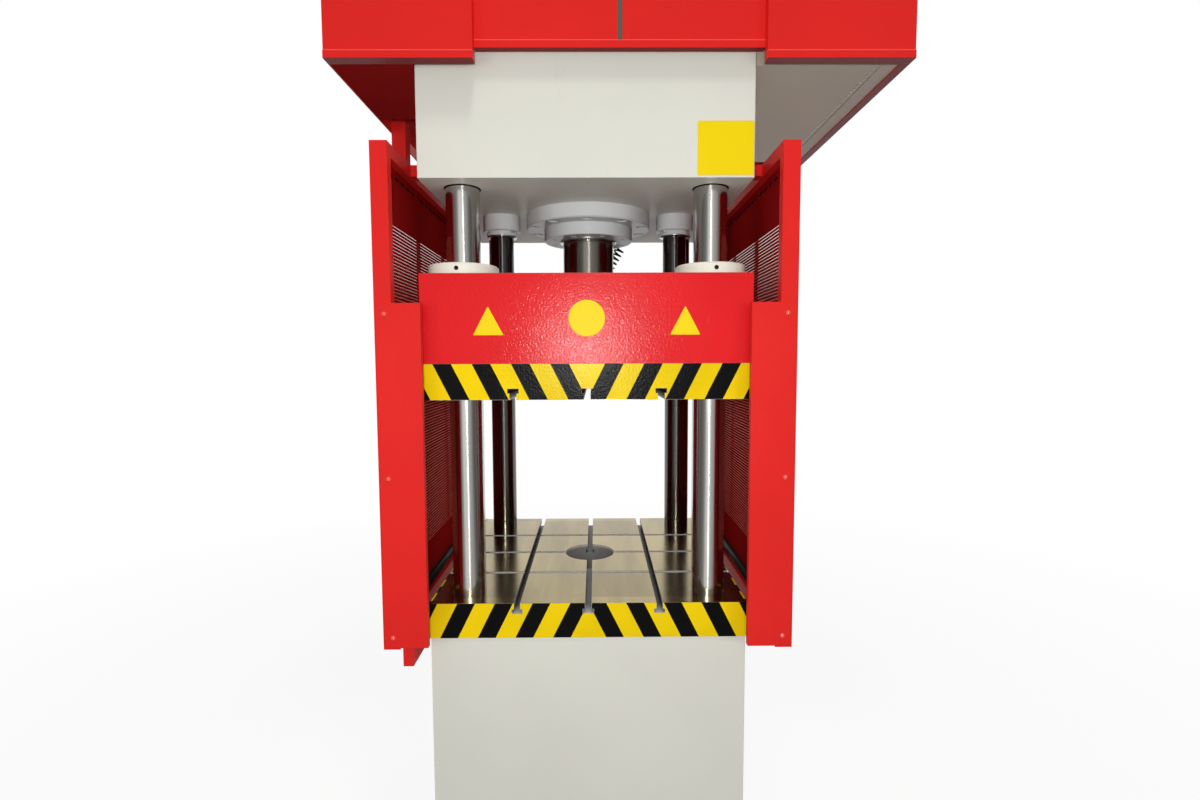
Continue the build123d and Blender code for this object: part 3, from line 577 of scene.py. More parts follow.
@dataclass(frozen=True)
class GroundSteel:
    """A ground and scraped bed: grinding lines, a tone for each field between the slots, and painted shade in the
    slots with painted light inside their front mouths.

    Attributes:
        name: The finish's name.
        colour: The ground face's linear colour.
        wall: Colour of the slots' milled walls near the face, also used as painted light inside the front mouths.
        slot_shade: The painted shade deeper in the slots.
        top: Height of the ground face in metres.
        pitch: Slot pitch in metres.
        way: 1 where the ground face looks up, -1 where it looks down.
        bore: Radius of the round opening in the middle, where there is one.
    """

    name: str
    colour: Colour
    wall: Colour
    slot_shade: Colour
    top: float
    pitch: float
    way: float = 1.0
    bore: float = 0.0

    def material(self) -> bpy.types.Material:
        """Return the finish as a material."""
        bench = FinishBench(self.name)
        across, back, height = (bench.along(axis) for axis in Axis)
        column = (across / self.pitch).floor()
        row = (back / self.pitch).floor()
        tile = bench.chance(column, row)
        lines = bench.noise(260.0, 3.0, (1.0, 0.02, 1.0), 0.6)
        sweep = bench.noise(16.0, 3.0, (1.0, 0.12, 1.0), 0.55)
        blotch = bench.noise(24.0, 5.0, roughness=0.65)
        nicks = bench.cells(46.0, (1.0, 0.16, 1.0)).rise(0.035, 0.012)
        ground = bench.mix((tile * 0.35 + sweep * 0.65).rise(0.25, 0.75), scaled(self.colour, 0.74),
                           scaled(self.colour, 1.24))
        ground = bench.mix(blotch.rise(0.6, 0.78) * 0.22, ground, OIL_BLOTCH)
        ground = bench.mix(nicks * 0.3, ground, NICK_TONE)
        depth = (self.top - height) * self.way
        sunk = depth.rise(0.0006, 0.0012)
        # Deeper in the slots the colour turns to painted shade. Near the front edge it turns back to the wall
        # colour, as painted light in the mouths. Inside the bore the painted shade is lighter.
        deep_shade = depth.rise(0.003, 0.011)
        low = bench.mix(blotch, self.slot_shade, scaled(self.slot_shade, 1.8))
        low = bench.mix(back.rise(-0.37, -0.45) * 0.8, low, self.wall)
        bore = (across * across + back * back) < self.bore ** 2
        low = bench.mix(bore, low, scaled(self.wall, 0.45))
        wall = bench.mix(deep_shade, self.wall, low)
        tone = bench.mix(sunk, ground, wall)
        dull = blotch.rise(0.55, 0.8) * 0.08 + sunk * 0.22
        rough = 0.15 + tile * 0.04 + (sweep - 0.5) * 0.1 + dull
        return bench.dress(Base_Color=tone, Roughness=rough, Metallic=1.0 - sunk * 0.85,
                           Normal=bench.bump(lines, 0.00003, 0.6))


@dataclass(frozen=True)
class TurnedSteel:
    """Plain steel with turning lines and a zinc or oil tone.

    Attributes:
        name: The finish's name.
        colour: Its linear colour.
        roughness: How dull it is.
        lines: Turning lines to a metre.
    """

    name: str
    colour: Colour
    roughness: float
    lines: float = 1200.0

    def material(self) -> bpy.types.Material:
        """Return the finish as a material."""
        bench = FinishBench(self.name)
        turn = bench.noise(self.lines, 1.0, (0.05, 0.05, 1.0))
        patch = bench.noise(55.0, 4.0, roughness=0.6)
        tone = bench.mix(patch.rise(0.35, 0.7), scaled(self.colour, 0.72), scaled(self.colour, 1.1))
        rough = self.roughness + (patch - 0.5) * 0.24
        return bench.dress(Base_Color=tone, Roughness=rough, Metallic=1.0,
                           Normal=bench.bump(turn, 0.00003, 0.5))


@dataclass(frozen=True)
class Cast:
    """Cast or moulded skin: a grainy, matt surface with dust in its hollows.

    Attributes:
        name: The finish's name.
        colour: Its linear colour.
        dust: Colour of the dust.
        roughness: How matt it is.
        grain: Grains to a metre.
        depth: Grain height in metres.
        gloss: Strength of its own reflection.
    """

    name: str
    colour: Colour
    dust: Colour
    roughness: float
    grain: float
    depth: float
    gloss: float = 0.5

    def material(self) -> bpy.types.Material:
        """Return the finish as a material."""
        bench = FinishBench(self.name)
        grain = bench.noise(self.grain, 3.0)
        patch = bench.noise(14.0, 4.0, roughness=0.6)
        tone = bench.mix(patch.rise(0.3, 0.75), scaled(self.colour, 0.8), scaled(self.colour, 1.25))
        tone = bench.mix(grain.rise(0.56, 0.7) * patch * 0.5, tone, self.dust)
        rough = self.roughness + (grain - 0.5) * 0.2
        return bench.dress(Base_Color=tone, Roughness=rough, Specular_IOR_Level=self.gloss,
                           Normal=bench.bump(grain, self.depth))


@dataclass(frozen=True)
class StripedBand:
    """Black and yellow hazard band, striped outwards from its middle, with worn and scuffed ink.

    Attributes:
        name: The finish's name.
        period: Length of one black and one yellow stripe along the band, in metres.
        black_share: The share of a period that is black.
        lean: Metres along for each metre up.
        grain: Grain height in metres.
        yellow: The yellow ink.
        black: The black ink.
        gloss: Strength of the band's own reflection.
        roughness: How matt it is.
        lumps: Lumps of grain to a metre.
    """

    name: str
    period: float
    black_share: float
    lean: float
    grain: float
    yellow: Colour
    black: Colour
    gloss: float
    roughness: float = 0.42
    lumps: float = 420.0

    def material(self) -> bpy.types.Material:
        """Return the finish as a material."""
        bench = FinishBench(self.name)
        uv = bench.uv()
        run = (abs(bench.along(Axis.X, uv)) - bench.along(Axis.Y, uv) * self.lean) / self.period
        phase = run - run.floor()
        softness = 0.006
        inked = phase.rise(self.black_share + softness, self.black_share - softness) * (run > 0.0)
        wear = bench.noise(42.0, 5.0, roughness=0.7)
        fade = bench.noise(5.0, 2.0)
        peel = bench.noise(self.lumps, 2.0)
        sun = bench.mix(fade.rise(0.3, 0.7), scaled(self.yellow, 0.9), scaled(self.yellow, 1.04))
        ink = bench.mix(wear.rise(0.6, 0.75) * 0.1, self.black, RUBBED_INK)
        tone = bench.mix(inked, sun, ink)
        rough = self.roughness + (wear - 0.5) * 0.2 + inked * 0.06
        return bench.dress(Base_Color=tone, Roughness=rough, Specular_IOR_Level=self.gloss,
                           Normal=bench.bump(peel, self.grain))


@dataclass(frozen=True)
class Jacket:
    """The black jacket of a coiled cable, with a soft bloom along its turns.

    Attributes:
        name: The finish's name.
        colour: Its linear colour.
        bloom: Colour of the bloom.
    """

    name: str
    colour: Colour
    bloom: Colour

    def material(self) -> bpy.types.Material:
        """Return the finish as a material."""
        bench = FinishBench(self.name)
        patch = bench.noise(120.0, 3.0)
        fine = bench.noise(1500.0, 1.0)
        tone = bench.mix(patch.rise(0.45, 0.75) * 0.5, self.colour, self.bloom)
        return bench.dress(Base_Color=tone, Roughness=0.34 + patch * 0.14, Specular_IOR_Level=0.06,
                           Normal=bench.bump(fine, 0.00002, 0.5))


@dataclass
class Finishes:
    """Every finish on the press, made once."""

    made: Dict[str, bpy.types.Material] = field(default_factory=dict)

    def reds(self) -> List[Paint]:
        """Return the red paints of the guards, the canopy and the slide."""
        # Pale red is painted as the highlight along each canopy fold, and dark red is painted as shade on each
        # sheet's underside.
        painted_fold_highlight, shaded = linear(250, 96, 86), linear(118, 22, 24)
        # The short slots under the guards' top rail are painted dark inside, as shade.
        dash_slot_shade = CutRow(0.530, 0.533, 2.030, 0.004, linear(22, 6, 6))
        guard = Paint("guard_red", linear(230, 40, 36), 0.42, 210.0, 0.00004, cloud=0.04, grime=0.04, gloss=0.13)
        door, front = ((LevelBand(foot + FOLD_HEIGHT, 0.0017, painted_fold_highlight), LevelBand(foot, 0.0006, shaded))
                       for foot in (2.327, 2.290))
        # Darker copies of the guard red: painted shade for the canopy's underside and for the guards' slotted
        # sheets.
        dull = Paint("shade_painted_floor_red", linear(146, 28, 28), 0.6, 210.0, 0.00004, cloud=0.05, grime=0.08, gloss=0.0)
        return [
            guard, replace(guard, name="door_red", marks=door), replace(guard, name="front_red", marks=front),
            dull, replace(dull, name="shade_painted_panel_red", colour=linear(160, 25, 24), marks=(dash_slot_shade,)),
            # The lips' pale pink is a painted highlight for the light their edges catch.
            Paint("highlight_lip_red", linear(252, 132, 112), 0.45, 210.0, 0.00002, cloud=0.05, grime=0.05, gloss=0.6,
                  edge=0.0003),
            # The screws' pale red is in part a painted highlight on their heads.
            Paint("highlight_screw_red", linear(248, 92, 82), 0.22, 210.0, 0.00002, cloud=0.02, grime=0.02, gloss=0.9,
                  edge=0.0004),
            Paint("slide_grained_red", linear(228, 32, 37), 0.16, 185.0, 0.0007, glint_speckle=0.02, cloud=0.04,
                  gloss=0.16, dusty_above=1.7595),
        ]

    def paints(self) -> List[Paint]:
        """Return the other paints."""
        # The cream caps' spanner holes are painted dark inside, as shade.
        spanner_holes = Bore(0.350, 1.776, 0.006, linear(64, 6, 14))
        return [
            Paint("seam_grey", linear(92, 99, 88), 0.55, 240.0, 0.00005, cloud=0.05, grime=0.2, gloss=0.2),
            Paint("cream_beige", linear(226, 225, 214), 0.4, 240.0, 0.00005, cloud=0.02, grime=0.06, gloss=0.2),
            Paint("tank_beige", linear(178, 169, 152), 0.42, 240.0, 0.00006, cloud=0.06, grime=0.14),
            Paint("cap_cream", linear(243, 239, 224), 0.34, 240.0, 0.00005, cloud=0.02, grime=0.04,
                  marks=(spanner_holes,)),
            Paint("cylinder_grey", linear(212, 214, 214), 0.33, 240.0, 0.00006, 0.1, cloud=0.03, grime=0.06,
                  gloss=0.35),
            Paint("motor_blue", linear(52, 78, 120), 0.4, 240.0, 0.00008, 0.1, cloud=0.08, grime=0.2),
            Paint("sign_yellow", linear(247, 216, 12), 0.4, 500.0, 0.00002, cloud=0.02, grime=0.02, gloss=0.12),
        ]

    def metals(self) -> List[Union[Chrome, GroundSteel, TurnedSteel]]:
        """Return the bare metals."""
        return [
            Chrome("column_chrome", (0.62, 0.615, 0.6), (0.3, 0.25, 0.2), 0.85, 0.3, 0.16),
            # The rear columns, the pull-back rods and the ram take darker copies of the chrome: painted shade for
            # the dark surroundings they reflect.
            Chrome("shade_painted_chrome", (0.13, 0.125, 0.12), (0.1, 0.08, 0.06), 0.85, 0.3, 0.14),
            Chrome("rod_chrome", (0.09, 0.087, 0.085), (0.05, 0.045, 0.04), 1.72, 0.15, 0.1),
            Chrome("ram_chrome", (0.24, 0.225, 0.2), (0.06, 0.05, 0.045), 1.72, 0.15, 0.16),
            GroundSteel("ground_bed", (0.38, 0.305, 0.155), (0.8, 0.79, 0.75), (0.045, 0.042, 0.037),
                        0.85, 0.2, bore=0.0852),
            GroundSteel("ground_platen", (0.4, 0.38, 0.34), (0.1, 0.095, 0.09), (0.03, 0.028, 0.026),
                        1.421, 0.2, -1.0),
            TurnedSteel("zinc_fastener", (0.5, 0.5, 0.5), 0.36),
            TurnedSteel("bright_ring", (0.72, 0.72, 0.72), 0.24),
        ]

    def trims(self) -> List[Union[Cast, StripedBand, Jacket]]:
        """Return the castings, mouldings, bands and the cable's jacket."""
        yellow, black = linear(247, 212, 14), linear(13, 13, 14)
        bed = StripedBand("bed_stripes", 0.1055, 0.474, 0.5, 0.00004, yellow, black, 0.04)
        return [
            Cast("cast_iron", (0.12, 0.125, 0.13), (0.2, 0.18, 0.15), 0.6, 420.0, 0.0003),
            Cast("black_moulding", (0.014, 0.014, 0.015), (0.06, 0.055, 0.05), 0.5, 900.0, 0.00006),
            Cast("seal_rubber", (0.01, 0.01, 0.01), (0.03, 0.03, 0.028), 0.5, 500.0, 0.00005, 0.12),
            bed, replace(bed, name="slide_stripes", grain=0.0007, gloss=0.07, roughness=0.17, lumps=185.0),
            Jacket("cable_jacket", (0.006, 0.006, 0.012), (0.02, 0.02, 0.035)),
        ]

    def __post_init__(self) -> None:
        """Make the materials."""
        for finish in (*self.reds(), *self.paints(), *self.metals(), *self.trims()):
            self.made[finish.name] = finish.material()
        log.info("finishes: %d materials", len(self.made))

    def __getitem__(self, name: str) -> bpy.types.Material:
        """Return a finish by its name."""
        return self.made[name]


def piece_from(name: str, mesh: bpy.types.Mesh, material: bpy.types.Material, body: Body,
               ride: bool = True) -> bpy.types.Object:
    """Put a finished mesh in the scene as a piece at the origin.

    Args:
        name: The piece's name.
        mesh: Its mesh, at its place on the press.
        material: Its finish.
        body: The body it moves with.
        ride: Whether it rides here, or is left for a blend.

    Returns:
        The piece.
    """
    mesh.materials.clear()
    mesh.materials.append(material)
    piece = bpy.data.objects.new(name, mesh)
    bpy.context.scene.collection.objects.link(piece)
    if ride:
        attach(piece, body.value)
    log.info("piece %s: %d faces on %s", name, len(mesh.polygons), body.value)
    return piece


def mesh_of(form: bmesh.types.BMesh, name: str, smooth: bool = False) -> bpy.types.Mesh:
    """Turn a bmesh into a mesh and free it.

    Args:
        form: The bmesh.
        name: The mesh's name.
        smooth: Whether its faces are shaded smooth.

    Returns:
        The mesh.
    """
    mesh = bpy.data.meshes.new(name)
    for face in form.faces:
        face.smooth = smooth
    form.to_mesh(mesh)
    form.free()
    return mesh


def skin(form: bmesh.types.BMesh, rings: Sequence[Ring], ends: bool = True) -> List[bmesh.types.BMFace]:
    """Stretch faces from ring to ring.

    Args:
        form: The bmesh to add to.
        rings: Rings of points, all with the same count.
        ends: Whether the first and the last ring are closed with a face.

    Returns:
        The new faces.
    """
    made = [form.faces.new(list(reversed(rings[0]))), form.faces.new(rings[-1])] if ends else []
    for low, high in zip(rings, rings[1:]):
        for step in range(len(low)):
            after = (step + 1) % len(low)
            made.append(form.faces.new((low[step], low[after], high[after], high[step])))
    return made


def spline_points(points: Sequence[Point], resolution: int) -> List[Vector]:
    """Read points along a smooth NURBS spline.

    Args:
        points: The spline's control points.
        resolution: Points read for each control point.

    Returns:
        The points along the spline.
    """
    curve = bpy.data.curves.new("route", "CURVE")
    curve.dimensions = "3D"
    curve.resolution_u = resolution
    spline = curve.splines.new("NURBS")
    spline.points.add(len(points) - 1)
    for held, point in zip(spline.points, points):
        held.co = (*point, 1.0)
    spline.order_u = 3
    spline.use_endpoint_u = True
    carrier = bpy.data.objects.new("route", curve)
    bpy.context.scene.collection.objects.link(carrier)
    graph = bpy.context.evaluated_depsgraph_get()
    mesh = bpy.data.meshes.new_from_object(carrier.evaluated_get(graph))
    read = [vertex.co.copy() for vertex in mesh.vertices]
    bpy.data.objects.remove(carrier)
    bpy.data.meshes.remove(mesh)
    return read


@dataclass
class CurlyCable:
    """The coiled cable behind the ram, from its gland under the crown to its socket on the slide.

    Attributes:
        head: Where it leaves the gland.
        foot: Where it enters the socket.
        wire: Diameter of the cable.
        coil: Diameter of the coil over the outside.
        pitch: Distance from turn to turn.
        steps: Control points in a turn.
        lead: Length of the straight leads at both ends.
        growth: Length over which the coil opens to its full size.
        sag: How far the coil's middle hangs under its own weight.
        sides: Sides of the tube.
        axis_reads: Points read along the coil's axis for each of its control points.
        path_reads: Points read along the wire for each of its control points.
    """

    head: Point = (0.144, 0.1905, 1.990)
    foot: Point = (0.024, 0.1905, 1.778)
    wire: float = 0.0068
    coil: float = 0.0376
    pitch: float = 0.0168
    steps: int = 14
    lead: float = 0.004
    growth: float = 0.055
    sag: float = 0.004
    sides: int = 10
    axis_reads: int = 60
    path_reads: int = 3

    def axis_points(self) -> List[Vector]:
        """Return points along the coil's own axis, bowed a little by its weight."""
        head, foot = Vector(self.head), Vector(self.foot)
        middle = head.lerp(foot, 0.5) + Vector((0.0, 0.0, -self.sag))
        return spline_points([tuple(head), tuple(middle), tuple(foot)], self.axis_reads)

    def helix(self) -> List[Point]:
        """Return the control points of the coil, wound along its axis and opening gently at both ends."""
        axis = self.axis_points()
        span = sum((after - before).length for before, after in zip(axis, axis[1:]))
        radius = (self.coil - self.wire) / 2
        stride = 2 * math.pi * radius / self.steps
        points: List[Point] = [tuple(axis[0])]
        run, angle = self.lead, 0.0
        while run < span - self.lead:
            near = max(0.0, min(1.0, (min(run, span - run) - self.lead) / self.growth))
            grown = near * near * (3.0 - 2.0 * near)
            swell = 6.0 * near * (1.0 - near) * radius / self.growth
            rate = 2 * math.pi / self.pitch * near ** 3
            place, ahead = self.axis_at(axis, run / span)
            side = ahead.cross(Vector((0.0, 1.0, 0.0))).normalized()
            front = side.cross(ahead)
            swing = (side * math.cos(angle) - front * math.sin(angle)) * radius * grown
            points.append(tuple(place + swing))
            fall = stride / math.sqrt(1.0 + swell * swell + (radius * grown * rate) ** 2)
            run += fall
            angle += rate * fall
        points.append(tuple(axis[-1]))
        return points

    def axis_at(self, axis: Sequence[Vector], share: float) -> Tuple[Vector, Vector]:
        """Return a place on the coil's axis and its direction there.

        Args:
            axis: Points along the axis.
            share: How far along, from 0 to 1.

        Returns:
            The place and the direction.
        """
        index = min(share, 0.9999) * (len(axis) - 1)
        low = int(index)
        return axis[low].lerp(axis[low + 1], index - low), (axis[low + 1] - axis[low]).normalized()

    def tube(self, path: Sequence[Vector]) -> bpy.types.Mesh:
        """Sweep a round section along a path.

        Args:
            path: The points to follow.

        Returns:
            The closed tube.
        """
        form = bmesh.new()
        radius = self.wire / 2
        side = Vector((0.0, 1.0, 0.0))
        rings = []
        for index, point in enumerate(path):
            ahead = (path[min(index + 1, len(path) - 1)] - path[max(index - 1, 0)]).normalized()
            side = (side - ahead * side.dot(ahead)).normalized()
            front = ahead.cross(side)
            ring = []
            for step in range(self.sides):
                angle = 2 * math.pi * step / self.sides
                reach = (side * math.cos(angle) + front * math.sin(angle)) * radius
                ring.append(form.verts.new(point + reach))
            rings.append(ring)
        skin(form, rings)
        bmesh.ops.recalc_face_normals(form, faces=form.faces)
        return mesh_of(form, "curly_cable_coil", True)

    def build(self, finishes: Finishes) -> bpy.types.Object:
        """Args:
            finishes: The press's finishes.

        Returns:
            The cable.
        """
        path = spline_points(self.helix(), self.path_reads)
        piece = piece_from("curly_cable_coil", self.tube(path), finishes["cable_jacket"], Body.FRAME,
                           ride=False)
        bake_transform(piece)
        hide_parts("curly_cable")
        return piece


@dataclass(frozen=True)
class Face:
    """One upright face of a plate: its middle at the low edge, its run, and the way it looks.

    Attributes:
        middle: The middle of the low edge.
        along: Unit vector along the face.
        outward: Unit vector out of it.
    """

    middle: Point
    along: Point
    outward: Point

    def at(self, run: float, rise: float, proud: float) -> Vector:
        """Return a place on the face.

        Args:
            run: Metres along from the middle.
            rise: Metres up from the low edge.
            proud: Metres out of the face.

        Returns:
            The place on the press.
        """
        return (Vector(self.middle) + Vector(self.along) * run + Vector((0.0, 0.0, rise))
                + Vector(self.outward) * proud)


@dataclass
class HazardBand:
    """The striped band around a plate's edge, cut out at the plate's slot mouths.

    Attributes:
        name: The piece's name.
        node: The CAD plate it is stuck to.
        body: The body it moves with.
        finish: Its finish.
        slot: The record's material slot; not used.
        mouth_edge: The edge that the slots open through.
        cross_slots: Whether slots also open through the side faces.
        margin: Distance of the band from the plate's edges.
        thickness: The band's thickness.
        lift: The glue line under it.
        pitch: Slot pitch.
        neck: Slot neck width.
        head: Slot head width.
        neck_depth: Depth of the neck.
        depth: Depth of the slot.
        clearance: Distance of the cut from the slot.
        wrap: How far the side strips turn over the plate's top edge.
    """

    name: str
    node: str
    body: Body
    finish: str
    slot: str
    mouth_edge: Edge
    cross_slots: bool
    margin: float = 0.0008
    thickness: float = 0.00035
    lift: float = 0.0001
    pitch: float = 0.2
    neck: float = 0.018
    head: float = 0.030
    neck_depth: float = 0.018
    depth: float = 0.030
    clearance: float = 0.0006
    wrap: float = 0.0

    def lay_uv(self, layer: bmesh.types.BMLayerItem, parts: Sequence[bmesh.types.BMFace],
               spots: Dict[bmesh.types.BMVert, Tuple[float, float]]) -> None:
        """Lay the UV map on new faces.

        Args:
            layer: The band's UV layer.
            parts: The faces.
            spots: The place on the map of each of their points.
        """
        for part in parts:
            for loop in part.loops:
                loop[layer].uv = spots[loop.vert]

    def turnovers(self, form: bmesh.types.BMesh, layer: bmesh.types.BMLayerItem, face: Face, half: float,
                  height: float, mouths: Sequence[float]) -> None:
        """Turn the band over the plate's top edge between the slot mouths.

        Args:
            form: The band's bmesh.
            layer: Its UV layer.
            face: The face it turns over from.
            half: Half the face's length.
            height: The face's height.
            mouths: Places of the slot mouths along the face.
        """
        neck = self.neck / 2 + self.clearance
        stops = [self.margin - half]
        for mouth in mouths:
            stops += [mouth - neck, mouth + neck]
        stops.append(half - self.margin)
        edge = self.lift + self.thickness
        section = [(edge, self.lift), (edge, edge), (-self.wrap, edge), (-self.wrap, self.lift)]
        for start, end in zip(stops[::2], stops[1::2]):
            rows = [[form.verts.new(face.at(run, height + rise, proud)) for proud, rise in section]
                    for run in (start, end)]
            spots = {vert: (run, min(0.0, section[place][0]))
                     for run, row in zip((start, end), rows) for place, vert in enumerate(row)}
            self.lay_uv(layer, skin(form, rows), spots)

    def outline(self, half: float, height: float, mouths: Sequence[float]) -> Outline:
        """Return the band's outline on one face.

        Args:
            half: Half the face's length.
            height: The face's height.
            mouths: Places of the slot mouths along the face.

        Returns:
            The outline's corners, from the low edge's left end.
        """
        low, high = self.margin, height - self.margin
        half -= self.margin
        neck = self.neck / 2 + self.clearance
        head = self.head / 2 + self.clearance
        shoulder = self.neck_depth - self.clearance
        floor = self.depth + self.clearance
        notch = [(-neck, 0.0), (-neck, shoulder), (-head, shoulder), (-head, floor),
                 (head, floor), (head, shoulder), (neck, shoulder), (neck, 0.0)]
        if self.mouth_edge is Edge.BOTTOM:
            corners: Outline = [(-half, low)]
            for mouth in mouths:
                corners += [(mouth + run, max(low, fall)) for run, fall in notch]
            return corners + [(half, low), (half, high), (-half, high)]
        corners = [(-half, low), (half, low), (half, high)]
        for mouth in sorted(mouths, reverse=True):
            corners += [(mouth + run, min(high, height - fall)) for run, fall in reversed(notch)]
        return corners + [(-half, high)]

    def faces(self) -> List[Tuple[Face, float, Sequence[float]]]:
        """Return the plate's four upright faces, each with half its length and its slot mouths."""
        low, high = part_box(self.node)
        middle = (low + high) / 2
        mouths = (-self.pitch, 0.0, self.pitch)
        side_mouths = mouths if self.cross_slots else ()
        half_x, half_y = (high.x - low.x) / 2, (high.y - low.y) / 2
        return [
            (Face((middle.x, low.y, low.z), (1.0, 0.0, 0.0), (0.0, -1.0, 0.0)), half_x, mouths),
            (Face((middle.x, high.y, low.z), (-1.0, 0.0, 0.0), (0.0, 1.0, 0.0)), half_x, mouths),
            (Face((low.x, middle.y, low.z), (0.0, -1.0, 0.0), (-1.0, 0.0, 0.0)), half_y, side_mouths),
            (Face((high.x, middle.y, low.z), (0.0, 1.0, 0.0), (1.0, 0.0, 0.0)), half_y, side_mouths),
        ]

    def build(self, finishes: Finishes) -> bpy.types.Object:
        """Build the band and stick it on.

        Args:
            finishes: The press's finishes.

        Returns:
            The band.
        """
        low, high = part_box(self.node)
        height = high.z - low.z
        form = bmesh.new()
        layer = form.loops.layers.uv.new("band")
        for face, half, mouths in self.faces():
            outline = self.outline(half, height, mouths)
            rings = [[form.verts.new(face.at(run, rise, proud)) for run, rise in outline]
                     for proud in (self.lift, self.lift + self.thickness)]
            flat = [(run, rise if self.mouth_edge is Edge.BOTTOM else height - rise) for run, rise in outline]
            spots = {vert: spot for ring in rings for vert, spot in zip(ring, flat)}
            self.lay_uv(layer, skin(form, rings), spots)
            if self.wrap and face.along[1]:
                self.turnovers(form, layer, face, half, height, mouths)
        bmesh.ops.recalc_face_normals(form, faces=form.faces)
        bmesh.ops.triangulate(form, faces=[part for part in form.faces if len(part.verts) > 4])
        return piece_from(self.name, mesh_of(form, self.name), finishes[self.finish], self.body)


class Shape(Enum):
    """Outlines of the blank stickers."""

    SQUARE = "square"
    DISC = "disc"
    TRIANGLE = "triangle"


@dataclass
class BlankSticker:
    """A plain yellow sticker with rounded corners and a softly raised edge.

    Attributes:
        name: The piece's name.
        shape: Its outline.
        middle: Its middle, on the face it is stuck to.
        width: Its width.
        height: Its height.
        body: The body it moves with.
        slot: The record's material slot; not used.
        corner: Corner radius.
        thickness: Its thickness.
        lift: The glue line under it.
        inset: Width of its softly raised edge.
        wall: Share of the thickness at which that edge begins.
        steps: Corner points.
        disc_steps: Points round a disc.
    """

    name: str
    shape: Shape
    middle: Point
    width: float
    height: float
    body: Body
    slot: str
    corner: float = 0.004
    thickness: float = 0.0005
    lift: float = 0.0001
    inset: float = 0.0006
    wall: float = 0.6
    steps: int = 6
    disc_steps: int = 64

    def corners(self) -> Outline:
        """Return the sharp outline, counter-clockwise as the operator sees it."""
        half_w, half_h = self.width / 2, self.height / 2
        if self.shape is Shape.DISC:
            angles = [2 * math.pi * step / self.disc_steps for step in range(self.disc_steps)]
            return [(half_w * math.cos(angle), half_h * math.sin(angle)) for angle in angles]
        if self.shape is Shape.TRIANGLE:
            return [(-half_w, -half_h), (half_w, -half_h), (0.0, half_h)]
        return [(-half_w, -half_h), (half_w, -half_h), (half_w, half_h), (-half_w, half_h)]

    def outline(self) -> Outline:
        """Return the outline with its corners rounded."""
        sharp = [Vector((*corner, 0.0)) for corner in self.corners()]
        if self.shape is Shape.DISC:
            return [(point.x, point.y) for point in sharp]
        rounded: Outline = []
        for index, point in enumerate(sharp):
            before = (sharp[index - 1] - point).normalized()
            after = (sharp[(index + 1) % len(sharp)] - point).normalized()
            for step in range(self.steps + 1):
                share = step / self.steps
                bend = point + before * self.corner * (1 - share) ** 2 + after * self.corner * share ** 2
                rounded.append((bend.x, bend.y))
        return rounded

    def build(self, finishes: Finishes) -> bpy.types.Object:
        """Build the sticker and stick it on.

        Args:
            finishes: The press's finishes.

        Returns:
            The sticker.
        """
        form = bmesh.new()
        rings = []
        for rise, inset in ((0.0, 0.0), (self.wall, 0.0), (1.0, self.inset)):
            pull = 1.0 - inset / (self.width / 2)
            proud = self.middle[1] - self.lift - self.thickness * rise
            rings.append([form.verts.new((self.middle[0] + run * pull, proud, self.middle[2] + up * pull))
                          for run, up in self.outline()])
        skin(form, rings)
        bmesh.ops.recalc_face_normals(form, faces=form.faces)
        return piece_from(self.name, mesh_of(form, self.name), finishes["sign_yellow"], self.body)


class PartTree(Bench):
    """A Geometry Nodes tree with named inputs, whose result is kept as a plain mesh."""

    def __init__(self, name: str, sizes: Dict[str, str]) -> None:
        """Start the tree.

        Args:
            name: The tree's name.
            sizes: The kind of each input, by the input's name.
        """
        super().__init__(bpy.data.node_groups.new(name, "GeometryNodeTree"))
        face = self.tree.interface
        face.new_socket("Geometry", in_out="OUTPUT", socket_type="NodeSocketGeometry")
        self.inputs = {size: face.new_socket(size, in_out="INPUT", socket_type=f"NodeSocket{kind}").identifier
                       for size, kind in sizes.items()}
        given = self.tree.nodes.new("NodeGroupInput")
        self.given = {size: Field(self, given.outputs[size]) for size in sizes}

    def row(self, shape: Field, mode: str, onward: Field) -> None:
        """Set a shape at each point of a row, and end the tree.

        Args:
            shape: The shape to repeat.
            mode: Whether the row is given by its end or by its pitch.
            onward: That end or pitch.
        """
        line = self.node("GeometryNodeMeshLine", {"mode": mode},
                         {"Count": self.given["Count"], "Start Location": self.given["Start"], "Offset": onward})
        placed = self.node("GeometryNodeInstanceOnPoints", inputs={"Points": line, "Instance": shape})
        real = self.node("GeometryNodeRealizeInstances", inputs={"Geometry": placed})
        dressed = self.node("GeometryNodeSetMaterial",
                            inputs={"Geometry": real, "Material": self.given["Finish"]})
        self.end("NodeGroupOutput", "Geometry", dressed)

    def mesh(self, values: Dict[str, object]) -> bpy.types.Mesh:
        """Run the tree once and keep its result as a plain mesh.

        Args:
            values: Its inputs, by name.

        Returns:
            The mesh, at its place on the press, with its faces pointing outwards.
        """
        carrier = bpy.data.objects.new("carrier", bpy.data.meshes.new("carrier"))
        bpy.context.scene.collection.objects.link(carrier)
        modifier = carrier.modifiers.new("tree", "NODES")
        modifier.node_group = self.tree
        for name, value in values.items():
            modifier[self.inputs[name]] = value
        graph = bpy.context.evaluated_depsgraph_get()
        mesh = bpy.data.meshes.new_from_object(carrier.evaluated_get(graph))
        carrier.modifiers.remove(modifier)
        bpy.data.objects.remove(carrier)
        form = bmesh.new()
        form.from_mesh(mesh)
        bmesh.ops.recalc_face_normals(form, faces=form.faces)
        form.to_mesh(mesh)
        form.free()
        return mesh


